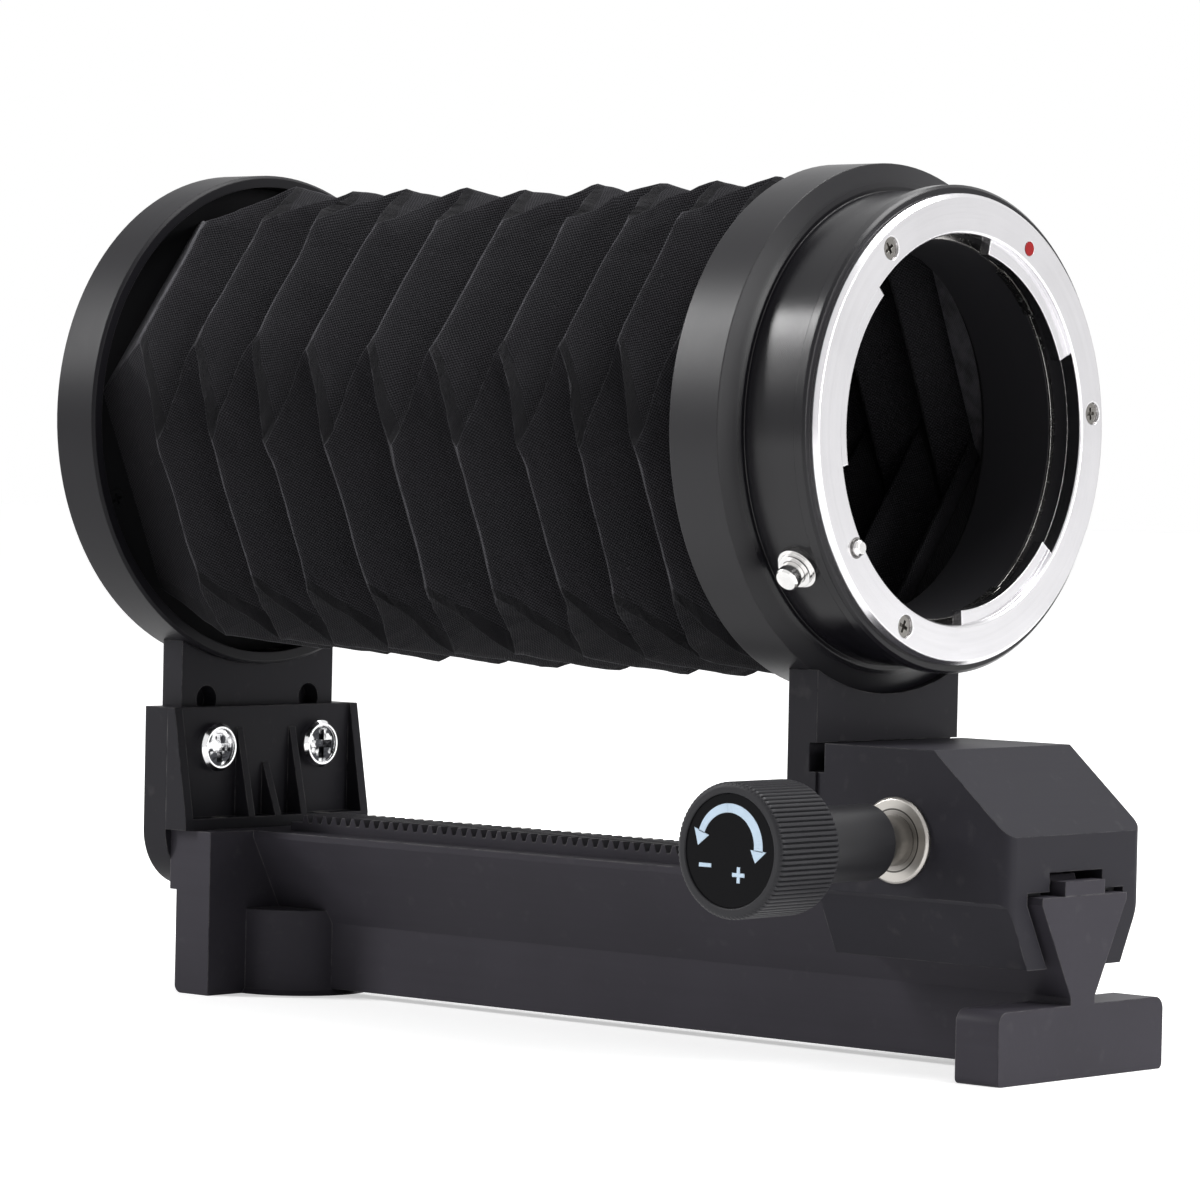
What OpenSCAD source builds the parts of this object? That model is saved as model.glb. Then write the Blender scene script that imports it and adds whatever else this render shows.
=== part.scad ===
// Macro bellows unit: a rail with a fixed camera standard, a rack-driven lens
// standard and a six-sided pleated bellows between them.
// Millimetres, +Z up, +X along the optical axis towards the lens. The origin is
// the centre of the tripod socket's mouth, on the table.

/* [Rail] */
// Length of the rail in front of the rear end plate
rail_l = 149.6; // [120:0.1:220]
// Thickness of the rear end plate
plate_t = 7.2; // [6:0.1:12]
// Width of the rear end plate and of the front foot
foot_w = 37.4; // [34:0.1:60]
// Height of the rail's two shoulders above the table
shoulder_z = 24.8; // [22:0.1:30]
// Width across the shoulders
shoulder_w = 19.1; // [17:0.1:21]
// Height of the upright edge under each shoulder
shoulder_edge = 1.0; // [0.5:0.1:2]
// Height of the sloping side under that edge
slope_h = 12.8; // [10:0.1:15]
// Thickness of the upright web
web_t = 5.4; // [4:0.1:8]
// Clearance of the web above the table
web_z = 1.0; // [0.5:0.1:3]
// Height of the front foot
foot_h = 10.0; // [6:0.1:12]
// Thickness of the front foot
foot_t = 7.2; // [5:0.1:12]
// Radius of the foot's upper corners
foot_r = 1.8; // [0.5:0.1:3]
// Radius of the foot's lower corners
foot_low_r = 0.8; // [0.2:0.1:2]
// Radius of the end plate's lower rear edge
plate_r = 1.3; // [0.3:0.1:2.5]
// Thickness of the pad on the rear face of the end plate
plate_pad = 1.4; // [0.8:0.1:3]

/* [Tripod boss] */
// Radius of the tripod boss
boss_r = 10.8; // [6:0.1:11.4]
// Height of the tripod boss
boss_h = 12.9; // [10:0.1:18]
// Radius of the boss's flared foot
flare_r = 11.5; // [11:0.1:16]
// Height of the flare
flare_h = 0.8; // [0.4:0.1:3]
// Radius of the tripod thread
tripod_r = 3.175; // [3:0.005:4.2]
// Wall of the threaded insert
insert_wall = 1.4; // [0.8:0.1:1.8]
// Length of the threaded insert
insert_l = 9.5; // [6:0.5:9.5]

/* [Rack and pinion] */
// Tooth pitch
pitch = 2.0; // [1.6:0.1:2.4]
// Number of pinion teeth
teeth = 15; // [13:1:17]
// Height of the teeth above the pitch line
addendum = 0.5; // [0.3:0.05:0.55]
// Depth of the teeth below the pitch line
dedendum = 0.68; // [0.6:0.01:0.8]
// Play between the teeth
backlash = 0.16; // [0.05:0.01:0.3]
// Width of the rack
rack_w = 9.0; // [7:0.1:10]
// Height of the tooth tips above the shoulders
rack_up = 2.5; // [1.8:0.1:3]
// Depth of the rack's groove in the rail
rack_groove = 1.4; // [0.8:0.1:3]
// Length of the plain stub at the rack's front end
rack_stub = 2.5; // [1:0.1:6]
// Distance of the groove's end from the rail's front end
groove_short = 4.0; // [2:0.5:8]
// Distance of the rack's rear end from the end plate
rack_x0 = 3.0; // [2:0.5:20]
// Radius of the pinion shaft
shaft_r = 3.0; // [2.8:0.05:3.2]
// Radius of the shaft's threaded near end
thread_r = 2.6; // [2:0.05:2.7]
// Radius of the shaft's far end, inside the drive knob
stub_r = 2.5; // [2:0.1:3]

/* [Carriage] */
// Length of the block
block_l = 32.9; // [30:0.1:60]
// Width of the block
block_w = 30.9; // [28:0.1:40]
// Height of the block's top above the table
block_z = 44.1; // [42:0.1:52]
// Distance of the block from the rail's front end
block_gap = 1.6; // [0.5:0.1:10]
// Length of the sloping front along the rail
chamfer_l = 12.9; // [4:0.1:15]
// Height of the sloping front
chamfer_h = 11.1; // [4:0.1:15]
// Depth of the jaws below the shoulders
jaw_h = 9.8; // [6:0.1:11]
// Depth at which the block's sides end and the jaws start
skirt_h = 0.8; // [0.3:0.1:2]
// Thickness of a jaw at its lower edge
jaw_t = 4.4; // [3:0.1:5]
// Room beside the rail for the liners
liner_room = 1.35; // [0.8:0.05:1.8]
// Room above the shoulders for the liners
liner_top = 0.6; // [0.4:0.05:1.2]
// Clearance between the liners and the rail
liner_play = 0.06; // [0.03:0.01:0.1]
// Distance of the liners from the block's ends
liner_end = 1.5; // [0.5:0.1:4]
// Room on each side of the rack
rack_side = 1.5; // [0.4:0.1:1.8]
// Room above the rack's teeth
rack_over = 0.7; // [0.6:0.1:1.5]
// Distance of the pinion's axis from the block's rear face
shaft_back = 14.0; // [12:0.1:18]
// Radius of the bearings, and of their bores
bearing_r = 5.55; // [5.4:0.05:5.7]
// Radius of the bearings' flanges
flange_r = 5.9; // [5.8:0.1:8]
// Thickness of the bearings' flanges
flange_t = 0.75; // [0.4:0.05:1.5]
// Running clearance of the shaft in its bearings
shaft_play = 0.05; // [0.02:0.01:0.1]
// Height of the relief at the block's upper rear edge
notch_h = 4.0; // [1:0.5:6]
// Depth of that relief
notch_d = 1.2; // [0.5:0.1:2]
// Radius of the block's upright front corners
block_r = 2.0; // [0.5:0.1:3]

/* [Lock knob] */
// Radius of the lock knob
knob_r = 9.05; // [8:0.05:12]
// Length of the lock knob
knob_l = 12.2; // [10:0.1:16]
// Number of ribs round the knob
knob_ribs = 78; // [30:1:90]
// Depth of the grooves between the ribs
rib_depth = 0.3; // [0.2:0.05:0.6]
// Radius of the disc in the knob's face
cap_r = 7.5; // [5:0.1:8]
// Thickness of that disc
cap_t = 1.0; // [0.6:0.1:1.6]
// Depth of the disc below the knob's rim
cap_sink = 0.25; // [0:0.05:0.6]
// Radius of the brass insert in the knob
knob_insert_r = 4.2; // [3.8:0.1:5]
// Radius of the thrust collar
collar_r = 5.2; // [4.6:0.1:6]
// Length of the thrust collar
collar_l = 16.4; // [10:0.1:20]
// Distance of the collar from the bearing when loose
collar_gap = 6.0; // [3:0.1:8]
// Travel of the collar until it clamps the spacer on the bearing
lock_travel = 0.8; // [0.5:0.05:1.5]
// Outer radius of the spacer sleeve between bearing and collar
spacer_r = 3.5; // [3.4:0.05:4]
// Length of the spacer sleeve that the loose collar covers
spacer_in = 2.0; // [1:0.1:4]

/* [Drive knob] */
// Radius of the drive knob
drive_r = 8.2; // [7:0.1:9]
// Length of the drive knob
drive_l = 8.8; // [7:0.1:12]
// Number of ribs round the drive knob
drive_ribs = 40; // [20:1:60]
// Radius of the drive knob's screw head
drive_screw_r = 2.6; // [2.4:0.1:4]

/* [Standards] */
// Height of the optical axis above the table
axis_z = 87.5; // [86:0.5:100]
// Thickness of the lens standard
front_std_t = 5.1; // [4:0.1:7]
// Width of the lens standard
front_std_w = 31.6; // [24:0.1:36]
// Thickness of the camera standard
rear_std_t = 4.2; // [3:0.1:4.5]
// Width of the camera standard
rear_std_w = 32.8; // [30:0.1:34]
// Depth of the camera standard's lower edge below the bracket's top
rear_std_deep = 17.6; // [14:0.1:18]
// Radius of the two slots in the camera standard
slot_r = 2.15; // [2.1:0.05:3]
// Length of those slots between centres
slot_l = 4.0; // [2:0.1:4.8]
// Height of the two upper holes above the chrome screws
hole_up = 7.2; // [7:0.1:8]
// Depth of the two upper holes
hole_deep = 2.8; // [1:0.1:2.9]

/* [Bracket] */
// Width of the bracket and of the plate behind it
bracket_w = 39.8; // [38:0.1:42]
// Height of the bracket above the rail's shoulders
bracket_h = 18.6; // [18:0.1:22]
// Thickness of the bracket's upright wall
bracket_wall = 1.2; // [0.8:0.1:2]
// Thickness of the bracket's base
base_t = 1.7; // [1:0.1:2.5]
// Depth of the side flanges at the top
flange_top = 1.55; // [1.3:0.05:3]
// Depth of the side flanges at the base
flange_base = 4.4; // [4:0.1:6.5]
// Thickness of the side flanges
side_t = 1.6; // [1:0.1:2.5]
// Thickness of the gusset ribs
gusset_t = 1.3; // [0.8:0.1:2]
// Distance between the gusset ribs
gusset_gap = 5.7; // [4:0.1:6]
// Height of the outer gusset ribs above the shoulders
gusset_h = 15.2; // [8:0.1:18]
// Height of the middle gusset rib above the shoulders
gusset_mid_h = 9.8; // [5:0.1:15]
// Thickness of the plate behind the bracket
back_t = 4.8; // [4.7:0.1:7]
// Depth of that plate's lower edge below the shoulders
back_deep = 9.1; // [8:0.1:16]
// Radius of that plate's lower corners
back_corner_r = 9.0; // [3:0.5:9]
// Distance between the two chrome screws
std_screw_gap = 22.2; // [20:0.1:24]
// Height of the chrome screws above the shoulders
std_screw_up = 12.4; // [10:0.1:14]
// Radius of the chrome screw heads
std_head_r = 3.7; // [3:0.1:4]
// Height of the chrome screw heads
std_head_h = 1.7; // [1.2:0.1:2.2]
// Radius of the chrome screws' shanks
std_shank_r = 2.0; // [1.5:0.1:2.05]

/* [Rings] */
// Outer radius of the camera-side ring
rear_ring_r = 37.7; // [37:0.1:42]
// Width of the camera-side ring
rear_ring_w = 8.3; // [7.5:0.1:12]
// Overhang of the camera-side ring behind its standard
rear_ring_back = 2.2; // [2:0.1:4]
// Outer radius of the lens-side ring
front_ring_r = 36.9; // [36.5:0.1:42]
// Width of the lens-side ring
front_ring_w = 8.8; // [8:0.1:12]
// Overhang of the lens-side ring behind its standard
front_ring_back = 5.0; // [4:0.1:5.5]
// Wall of both rings round the bellows
cup_wall = 1.8; // [1.4:0.1:2.2]
// Thickness of both rings' floors
floor_t = 3.0; // [2.4:0.1:3.2]
// Length of the conical step in front of the lens-side ring
cone_l = 1.5; // [0.5:0.1:4]
// Outer radius of that step where it meets the tube
cone_r = 33.6; // [33.1:0.1:35]
// Outer radius of the tube
tube_r = 33.0; // [32:0.1:33]
// Length of the tube between the step and the lip
tube_l = 8.7; // [8:0.1:14]
// Outer radius of the lip round the lens mount
lip_r = 33.7; // [33.2:0.1:36]
// Width of the lip
lip_w = 2.2; // [1.8:0.1:4]

/* [Bayonets] */
// Outer radius of the lens mount ring
mount_r = 32.5; // [32:0.1:32.6]
// Radius of the lens mount's throat
throat_r = 27.0; // [26.8:0.1:27.1]
// Thickness of the lens mount ring
mount_t = 2.5; // [2:0.1:3]
// Height of the lens mount ring above the lip
mount_proud = 1.2; // [0.5:0.1:1.2]
// Inner radius of the lens mount's tabs
tab_r = 25.0; // [24.5:0.1:25.8]
// Thickness of the tabs
tab_t = 1.6; // [1.2:0.1:1.8]
// Depth of the tabs behind the mount's face
tab_sink = 0.9; // [0.4:0.1:1]
// Depth of the mount screws' heads below the face
mount_screw_sink = 0.35; // [0.05:0.05:0.45]
// Thickness of the leaf spring's band
leaf_t = 0.3; // [0.2:0.05:0.5]
// Radius of the index dot
dot_r = 1.0; // [0.6:0.1:1.4]
// Outer radius of the camera mount's flange
cam_flange_r = 32.4; // [31:0.1:34]
// Thickness of the camera mount's flange
cam_flange_t = 1.6; // [1.4:0.1:3]
// Outer radius of the camera mount's barrel
cam_barrel_r = 25.4; // [25:0.1:25.6]
// Thickness of the camera mount's barrel
cam_wall = 1.8; // [1.4:0.1:3.4]
// Length of the camera mount's barrel behind the flange
cam_barrel_l = 4.4; // [4:0.1:6]
// Reach of the camera mount's lugs beyond the barrel
lug_out = 1.5; // [0.8:0.1:1.5]
// Thickness of the lugs
lug_t = 1.6; // [1:0.1:2]
// Distance of the lugs from the flange
lug_gap = 2.1; // [2:0.1:2.6]

/* [Lens release] */
// Angle of the release round the tube, from +Y towards +Z
release_a = 215; // [200:1:230]
// Distance of the button's axis from the ring's front step
button_x = 5.3; // [4.5:0.1:5.5]
// Radius of the button's stem
button_r = 1.75; // [1.4:0.05:1.9]
// Height of the button's end above the tube
button_up = 3.6; // [3.2:0.1:5]
// Radius of the sleeve round the button
sleeve_r = 3.0; // [2.8:0.1:3.2]
// Height of the sleeve above the tube
sleeve_up = 0.8; // [0.4:0.1:1.2]
// Depth of the sleeve in the tube's wall
sleeve_in = 2.0; // [1:0.1:2.1]
// Radius of the sleeve's upper step
step_r = 2.5; // [2.3:0.1:2.7]
// Height of that step above the sleeve
step_up = 0.7; // [0.3:0.1:0.8]
// Travel of the button and of the lock pin
release_travel = 1.2; // [0.8:0.1:1.2]
// Radius of the lock pin
pin_r = 1.1; // [0.8:0.05:1.1]
// Wall between the lock pin and the throat
pin_wall = 0.4; // [0.3:0.1:0.7]
// Height of the lock pin above the mount's face
pin_up = 1.0; // [0.6:0.1:1.2]

/* [Bellows] */
// Distance of the outer fold faces from the optical axis
fold_out = 36.0; // [34:0.1:37]
// Distance of the inner fold faces from the optical axis
fold_in = 28.0; // [27:0.1:30]
// Number of fold ridges, counted over both sets of faces
ridges = 19; // [11:2:25]
// Distance of the first ridge in front of the camera-side ring
first_ridge = 3.3; // [2.5:0.1:5]
// Distance of the last ridge behind the lens-side ring
last_ridge = 1.4; // [1.2:0.1:4]
// Turn of the six-sided section round the optical axis
fold_turn = -6.5; // [-15:0.5:15]
// Thickness of the cloth, measured across the axis
cloth = 0.9; // [0.6:0.1:1.2]
// Largest shift of a ridge where the folds hang unevenly
drift = 1.9; // [0:0.1:2.5]
// Distance of the cloth's ends from the optical axis
collar_in = 27.5; // [26.5:0.1:28]
// Thickness of the two bellows frames
frame_t = 1.4; // [1:0.1:1.8]
// Clearance between the cloth's front end and its frame
cloth_gap = 0.3; // [0.2:0.05:0.5]

/* [Small screws] */
// Depth of the mount screws in the lip
mount_bite = 3.5; // [2:0.1:4]
// Depth of the bracket's screws in the end plate
base_bite = 2.2; // [1.5:0.1:2.3]
// Depth of the front frame's screws in the ring
frame_bite = 4.0; // [2:0.1:4.2]
// Depth of the rings' screws in the standards
ring_bite = 5.0; // [3:0.1:7]
// Radius of the nuts of the chrome screws, to their corners
nut_r = 4.0; // [3.5:0.1:4.5]
// Thickness of those nuts
nut_h = 2.6; // [2:0.1:3.5]
// Radius of the small screws' shanks
small_r = 0.85; // [0.6:0.05:1]
// Radius of the small screws' heads
small_head_r = 1.6; // [1.2:0.05:1.8]
// Height of the small screws' heads
small_head_h = 0.9; // [0.6:0.05:1]
// Radius of the block and plate screws' shanks
mid_r = 1.5; // [1.2:0.1:1.6]
// Radius of the block and plate screws' heads
mid_head_r = 2.8; // [2.4:0.1:3.2]
// Height of the block and plate screws' heads
mid_head_h = 1.5; // [1:0.1:1.8]

/* [Hidden] */
$fn = 96;
eps = 0.01;

metal_black = [0.16, 0.16, 0.17];
satin_black = [0.10, 0.10, 0.11];
cloth_black = [0.05, 0.05, 0.055];
silver = [0.85, 0.85, 0.86];
nickel = [0.70, 0.68, 0.64];
steel = [0.45, 0.45, 0.47];

// Places along the rail
block_x1 = rail_l - block_gap;
block_x0 = block_x1 - block_l;
front_std_x = block_x0 - front_std_t;
front_ring_x = front_std_x - front_ring_back;
front_floor_x = front_ring_x + front_ring_w - floor_t;
cone_x = front_ring_x + front_ring_w;
tube_x = cone_x + cone_l;
lip_x = tube_x + tube_l;
mount_face_x = lip_x + lip_w + mount_proud;
mount_back_x = mount_face_x - mount_t;
bracket_x = -plate_t - plate_pad;
back_x = bracket_x - back_t;
rear_ring_x = back_x - rear_ring_back;
rear_floor_x = rear_ring_x + floor_t;
rear_rim_x = rear_ring_x + rear_ring_w;
cam_face_x = rear_ring_x - cam_flange_t;
cam_throat_r = cam_barrel_r - cam_wall;
rear_frame_x = rear_floor_x + frame_t;
front_frame_x = front_floor_x - frame_t;

// Heights
neck_z = shoulder_z - shoulder_edge - slope_h;
rack_tip_z = shoulder_z + rack_up;
rack_pitch_z = rack_tip_z - addendum;
pitch_r = teeth * pitch / (2 * PI);
shaft_x = block_x0 + shaft_back;
shaft_z = rack_pitch_z + pitch_r;
bracket_z = shoulder_z + bracket_h;
std_screw_z = shoulder_z + std_screw_up;
slot_roof_z = rack_tip_z + rack_over;

// The rail's side slope, as width gained per height
slope = (shoulder_w - web_t) / 2 / slope_h;
jaw_z = shoulder_z - jaw_h;
slot_half = shoulder_w / 2 + liner_room;
jaw_in = slot_half - slope * (jaw_h - shoulder_edge);
jaw_out = jaw_in + jaw_t;

// Places across the rail, along the pinion shaft
near_face_y = -block_w / 2;
bearing_y = -near_face_y + flange_t;
pinion_half = rack_w / 2 + 0.6;
cavity_half = pinion_half + 0.3;
cavity_r = pitch_r + addendum + 0.45;
collar_y = near_face_y - flange_t - collar_gap;
knob_y = collar_y - collar_l;
knob_end_y = knob_y - knob_l;
shaft_step_y = knob_y + lock_travel + 0.5;
thread_end_y = knob_y - (knob_l - cap_t - cap_sink - lock_travel - 1.2);
drive_y = bearing_y + 0.7;

// Radii on which the small screws stand
release_x = tube_x + button_x;
base_head_r = small_head_r - 0.3;
frame_screw_r = (collar_in + front_ring_r - cup_wall) / 2;
mount_screw_r = (throat_r + mount_r) / 2 - 0.05;
cam_screw_r = (cam_barrel_r + cam_flange_r) / 2 + 0.1;
ring_screw_a = 8;
ledge_r = throat_r - 0.8;
head_sink = 0.15;
ring_screw_l = front_ring_r - ledge_r + ring_bite;

// ---------- placing ----------

// Section drawn in Y and Z, extruded forward along X
module along_x(x, l) {
    translate([x, 0, 0]) rotate([90, 0, 90]) linear_extrude(l) children();
}

// Section drawn in X and Z, extruded across Y about the middle
module across_y(w, y = 0) {
    translate([0, y + w / 2, 0]) rotate([90, 0, 0]) linear_extrude(w) children();
}

// Local z along the optical axis, local x across, local y up
module on_axis(x) {
    translate([x, 0, axis_z]) rotate([90, 0, 90]) children();
}

// Local z pointing out from the optical axis at an angle
module radial(x, a, r) {
    on_axis(x) rotate([0, 0, a]) translate([r, 0, 0]) rotate([0, 90, 0]) children();
}

// Solid of revolution round the optical axis from [radius, x] points
module turned(points) {
    on_axis(0) rotate_extrude() polygon(points);
}

// Local z along the pinion shaft, towards the far side
module on_shaft(y) {
    translate([shaft_x, y, shaft_z]) rotate([-90, 0, 0]) children();
}

function mirrored(half) = concat(half, [for (i = [len(half) - 1:-1:0]) [-half[i][0], half[i][1]]]);

// ---------- shared shapes ----------

// Rectangle standing on y = 0, with one radius at its lower corners and another above
module soft_rect(w, h, low_r, r) {
    translate([-w / 2, low_r]) square([w, h - r - low_r]);
    translate([low_r - w / 2, 0]) square([w - 2 * low_r, h - r]);
    translate([r - w / 2, low_r]) square([w - 2 * r, h - low_r]);
    for (s = [-1, 1]) {
        translate([s * (w / 2 - low_r), low_r]) circle(low_r);
        translate([s * (w / 2 - r), h - r]) circle(r);
    }
}

// Pie slice of the plane between two angles less than 180 degrees apart
module slice(a0, a1) {
    mid = (a0 + a1) / 2;
    far = 120;
    polygon([[0, 0], far * [cos(a0), sin(a0)], far * [cos(mid), sin(mid)],
        far * [cos(a1), sin(a1)]]);
}

module ring(outer, inner, h) {
    difference() {
        cylinder(r = outer, h = h);
        translate([0, 0, -1]) cylinder(r = inner, h = h + 2);
    }
}

// Cross recess cut down from z = 0
module cross_cut(size, depth) {
    width = size * 0.26;
    for (a = [0, 90]) rotate([0, 0, a])
        translate([-size / 2, -width / 2, -depth]) cube([size, width, depth + 1]);
}

// Countersunk screw with its flat head at z = 0 and its shank towards -z
module flat_screw(head_r, head_h, shank_r, l) {
    difference() {
        union() {
            translate([0, 0, -l]) cylinder(r = shank_r, h = l - head_h / 2);
            translate([0, 0, -head_h]) cylinder(r1 = shank_r, r2 = head_r, h = head_h);
        }
        cross_cut(head_r * 1.1, head_h * 0.6);
    }
}

// Seat and hole for that screw
module flat_seat(head_r, head_h, shank_r, l) {
    translate([0, 0, -l]) cylinder(r = shank_r, h = l);
    translate([0, 0, -head_h]) cylinder(r1 = shank_r, r2 = head_r, h = head_h);
    cylinder(r = head_r, h = 0.5);
}

// Screw with a cylindrical head above z = 0 and its shank towards -z
module pan_screw(head_r, head_h, shank_r, l) {
    edge = head_h * 0.3;
    difference() {
        union() {
            translate([0, 0, -l]) cylinder(r = shank_r, h = l);
            cylinder(r = head_r, h = head_h - edge);
            translate([0, 0, head_h - edge]) cylinder(r1 = head_r, r2 = head_r - edge, h = edge);
        }
        translate([0, 0, head_h]) cross_cut(head_r * 1.2, head_h * 0.75);
    }
}

module small_screw(l) { flat_screw(small_head_r, small_head_h, small_r, l); }
module small_seat(l) { flat_seat(small_head_r, small_head_h, small_r, l); }
module mid_screw(l) { flat_screw(mid_head_r, mid_head_h, mid_r, l); }
module mid_seat(l) { flat_seat(mid_head_r, mid_head_h, mid_r, l); }

// Straight-ribbed grip along z with bevelled ends
module ribbed_grip(r, l, n, depth, bevel) {
    step = 360 / n;
    intersection() {
        linear_extrude(l) polygon([for (i = [0:n - 1], k = [[0, 0], [0.66, 0], [0.8, 1], [0.94, 1]])
            (r - k[1] * depth) * [cos((i + k[0]) * step), sin((i + k[0]) * step)]]);
        rotate_extrude() polygon([[0, 0], [r - bevel, 0], [r + eps, bevel],
            [r + eps, l - bevel], [r - bevel, l], [0, l]]);
    }
}

// ---------- rail ----------

module back_plate_screw_places() {
    for (s = [-1, 1]) translate([back_x, s * std_screw_gap / 2, shoulder_z - 4.6])
        rotate([0, -90, 0]) children();
}

module base_screw_places() {
    for (s = [-1, 1])
        translate([bracket_x + bracket_wall + (flange_base - bracket_wall) / 2,
            s * std_screw_gap / 2, shoulder_z + base_t]) children();
}

module rail_section() {
    half_top = shoulder_w / 2;
    polygon(mirrored([[half_top, shoulder_z], [half_top, shoulder_z - shoulder_edge],
        [web_t / 2, neck_z], [web_t / 2, web_z]]));
}

// End plate seen from the side, with its lower rear edge round
module end_plate_profile() {
    translate([-plate_t, plate_r]) square([plate_t, shoulder_z - plate_r]);
    translate([plate_r - plate_t, 0]) square([plate_t - plate_r, shoulder_z]);
    translate([plate_r - plate_t, plate_r]) circle(plate_r);
}

module rail() {
    color(metal_black) difference() {
        union() {
            along_x(-eps, rail_l + eps) rail_section();
            across_y(foot_w) end_plate_profile();
            translate([bracket_x, -foot_w / 2, shoulder_z - back_deep])
                cube([plate_pad + 1, foot_w, back_deep]);
            along_x(rail_l - foot_t, foot_t) soft_rect(foot_w, foot_h, foot_low_r, foot_r);
            cylinder(r = boss_r, h = boss_h);
            cylinder(r1 = flare_r, r2 = boss_r, h = flare_h);
        }
        translate([0, 0, -1]) cylinder(r = tripod_r + insert_wall, h = insert_l + 1);
        translate([rack_x0, -rack_w / 2, shoulder_z - rack_groove])
            cube([rail_l - groove_short - rack_x0, rack_w, rack_groove + 1]);
        back_plate_screw_places() mid_seat(back_t + plate_pad + plate_t - 1.5);
        base_screw_places() translate([0, 0, -base_t - base_bite - 0.3])
            cylinder(r = small_r, h = base_bite + 1);
    }
}

// Teeth lie half a pitch to each side of the pinion's axis, so that a pinion
// tooth points straight down between two of them.
module rack() {
    half = (pitch - backlash) / 4;
    tip = half - addendum * tan(20);
    root = half + dedendum * tan(20);
    root_z = rack_pitch_z - dedendum;
    first = ceil((rack_x0 + 0.5 - shaft_x) / pitch);
    stub_x = rail_l - rack_stub;
    groove_x = rail_l - groove_short;
    last = floor((stub_x - 0.3 - shaft_x) / pitch) - 1;
    color(metal_black) across_y(rack_w) polygon(concat(
        [[rail_l, shoulder_z], [groove_x, shoulder_z], [groove_x, shoulder_z - rack_groove],
            [rack_x0, shoulder_z - rack_groove], [rack_x0, root_z]],
        [for (i = [first:last], p = [[-root, root_z], [-tip, rack_tip_z], [tip, rack_tip_z],
            [root, root_z]]) [shaft_x + (i + 0.5) * pitch + p[0], p[1]]],
        [[stub_x, root_z], [stub_x, rack_pitch_z], [rail_l, rack_pitch_z]]));
}

module tripod_insert() {
    color(nickel) ring(tripod_r + insert_wall, tripod_r, insert_l);
}

// ---------- camera end ----------

module std_screw_places(x) {
    for (s = [-1, 1]) translate([x, s * std_screw_gap / 2, std_screw_z])
        rotate([0, 90, 0]) children();
}

module back_plate() {
    low_z = shoulder_z - back_deep;
    inner_w = bracket_w - 2 * back_corner_r;
    color(metal_black) difference() {
        along_x(back_x, back_t) {
            translate([-bracket_w / 2, low_z + back_corner_r])
                square([bracket_w, bracket_z - low_z - back_corner_r]);
            translate([-inner_w / 2, low_z]) square([inner_w, back_corner_r + 1]);
            for (s = [-1, 1]) translate([s * inner_w / 2, low_z + back_corner_r])
                circle(back_corner_r);
        }
        translate([back_x - 1, -rear_std_w / 2, bracket_z - rear_std_deep])
            cube([rear_std_t + 1, rear_std_w, rear_std_deep + 1]);
        std_screw_places(back_x) cylinder(r = std_shank_r, h = back_t + 1);
        back_plate_screw_places() mid_seat(back_t + 1);
    }
}

module back_plate_screws() {
    color(steel) back_plate_screw_places() mid_screw(back_t + plate_pad + plate_t - 2);
}

// Outline of an upright fin on the bracket, seen from the side
module fin(w, h, top_d, y) {
    x = bracket_x;
    across_y(w, y) polygon([[x, shoulder_z], [x + flange_base, shoulder_z],
        [x + flange_base, shoulder_z + base_t], [x + top_d, shoulder_z + h], [x, shoulder_z + h]]);
}

module rear_bracket() {
    side_y = (bracket_w - side_t) / 2;
    gusset_d = bracket_wall + 0.2;
    color(metal_black) difference() {
        union() {
            translate([bracket_x, -bracket_w / 2, shoulder_z])
                cube([bracket_wall, bracket_w, bracket_h]);
            translate([bracket_x, -bracket_w / 2, shoulder_z]) cube([flange_base, bracket_w, base_t]);
            for (s = [-1, 1]) fin(side_t, bracket_h, flange_top, s * side_y);
            for (s = [-1, 1]) fin(gusset_t, gusset_h, gusset_d, s * gusset_gap);
            fin(gusset_t, gusset_mid_h, gusset_d, 0);
        }
        std_screw_places(bracket_x - 1) cylinder(r = std_shank_r, h = bracket_wall + 2);
        base_screw_places() flat_seat(base_head_r, small_head_h, small_r, base_t + 1);
    }
}

module bracket_base_screws() {
    color(steel) base_screw_places() flat_screw(base_head_r, small_head_h, small_r, base_t + base_bite);
}

module rear_standard() {
    low_z = bracket_z - rear_std_deep;
    color(metal_black) difference() {
        translate([back_x, -rear_std_w / 2, low_z]) cube([rear_std_t, rear_std_w, axis_z - low_z]);
        on_axis(back_x - 1) cylinder(r = rear_ring_r, h = rear_std_t + 2);
        translate([back_x - 1, -rear_std_w, axis_z - rear_ring_r * 0.87])
            cube([rear_std_t + 2, 2 * rear_std_w, rear_ring_r]);
        for (s = [-1, 1]) along_x(back_x - 1, rear_std_t + 2)
            translate([s * std_screw_gap / 2, std_screw_z - slot_l / 2]) {
                circle(slot_r);
                translate([-slot_r, 0]) square([2 * slot_r, slot_l]);
                translate([0, slot_l]) circle(slot_r);
            }
        std_screw_places(back_x + rear_std_t - hole_deep) translate([-hole_up, 0, 0])
            cylinder(r = slot_r, h = hole_deep + 1);
        rear_ring_screw_places() translate([0, 0, -cup_wall - ring_bite - 1])
            cylinder(r = small_r, h = ring_bite + cup_wall + 1);
    }
}

module standard_screws() {
    dish = 0.4;
    rim = 0.8;
    color(silver) std_screw_places(bracket_x + bracket_wall) difference() {
        pan_screw(std_head_r, std_head_h, std_shank_r, bracket_wall + back_t + nut_h + 0.6);
        translate([0, 0, std_head_h - dish]) cylinder(r = std_head_r - rim, h = dish + 1);
    }
}

module standard_nuts() {
    color(silver) std_screw_places(back_x - nut_h) difference() {
        cylinder(r = nut_r, h = nut_h, $fn = 6);
        translate([0, 0, -1]) cylinder(r = std_shank_r, h = nut_h + 2);
    }
}

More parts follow.
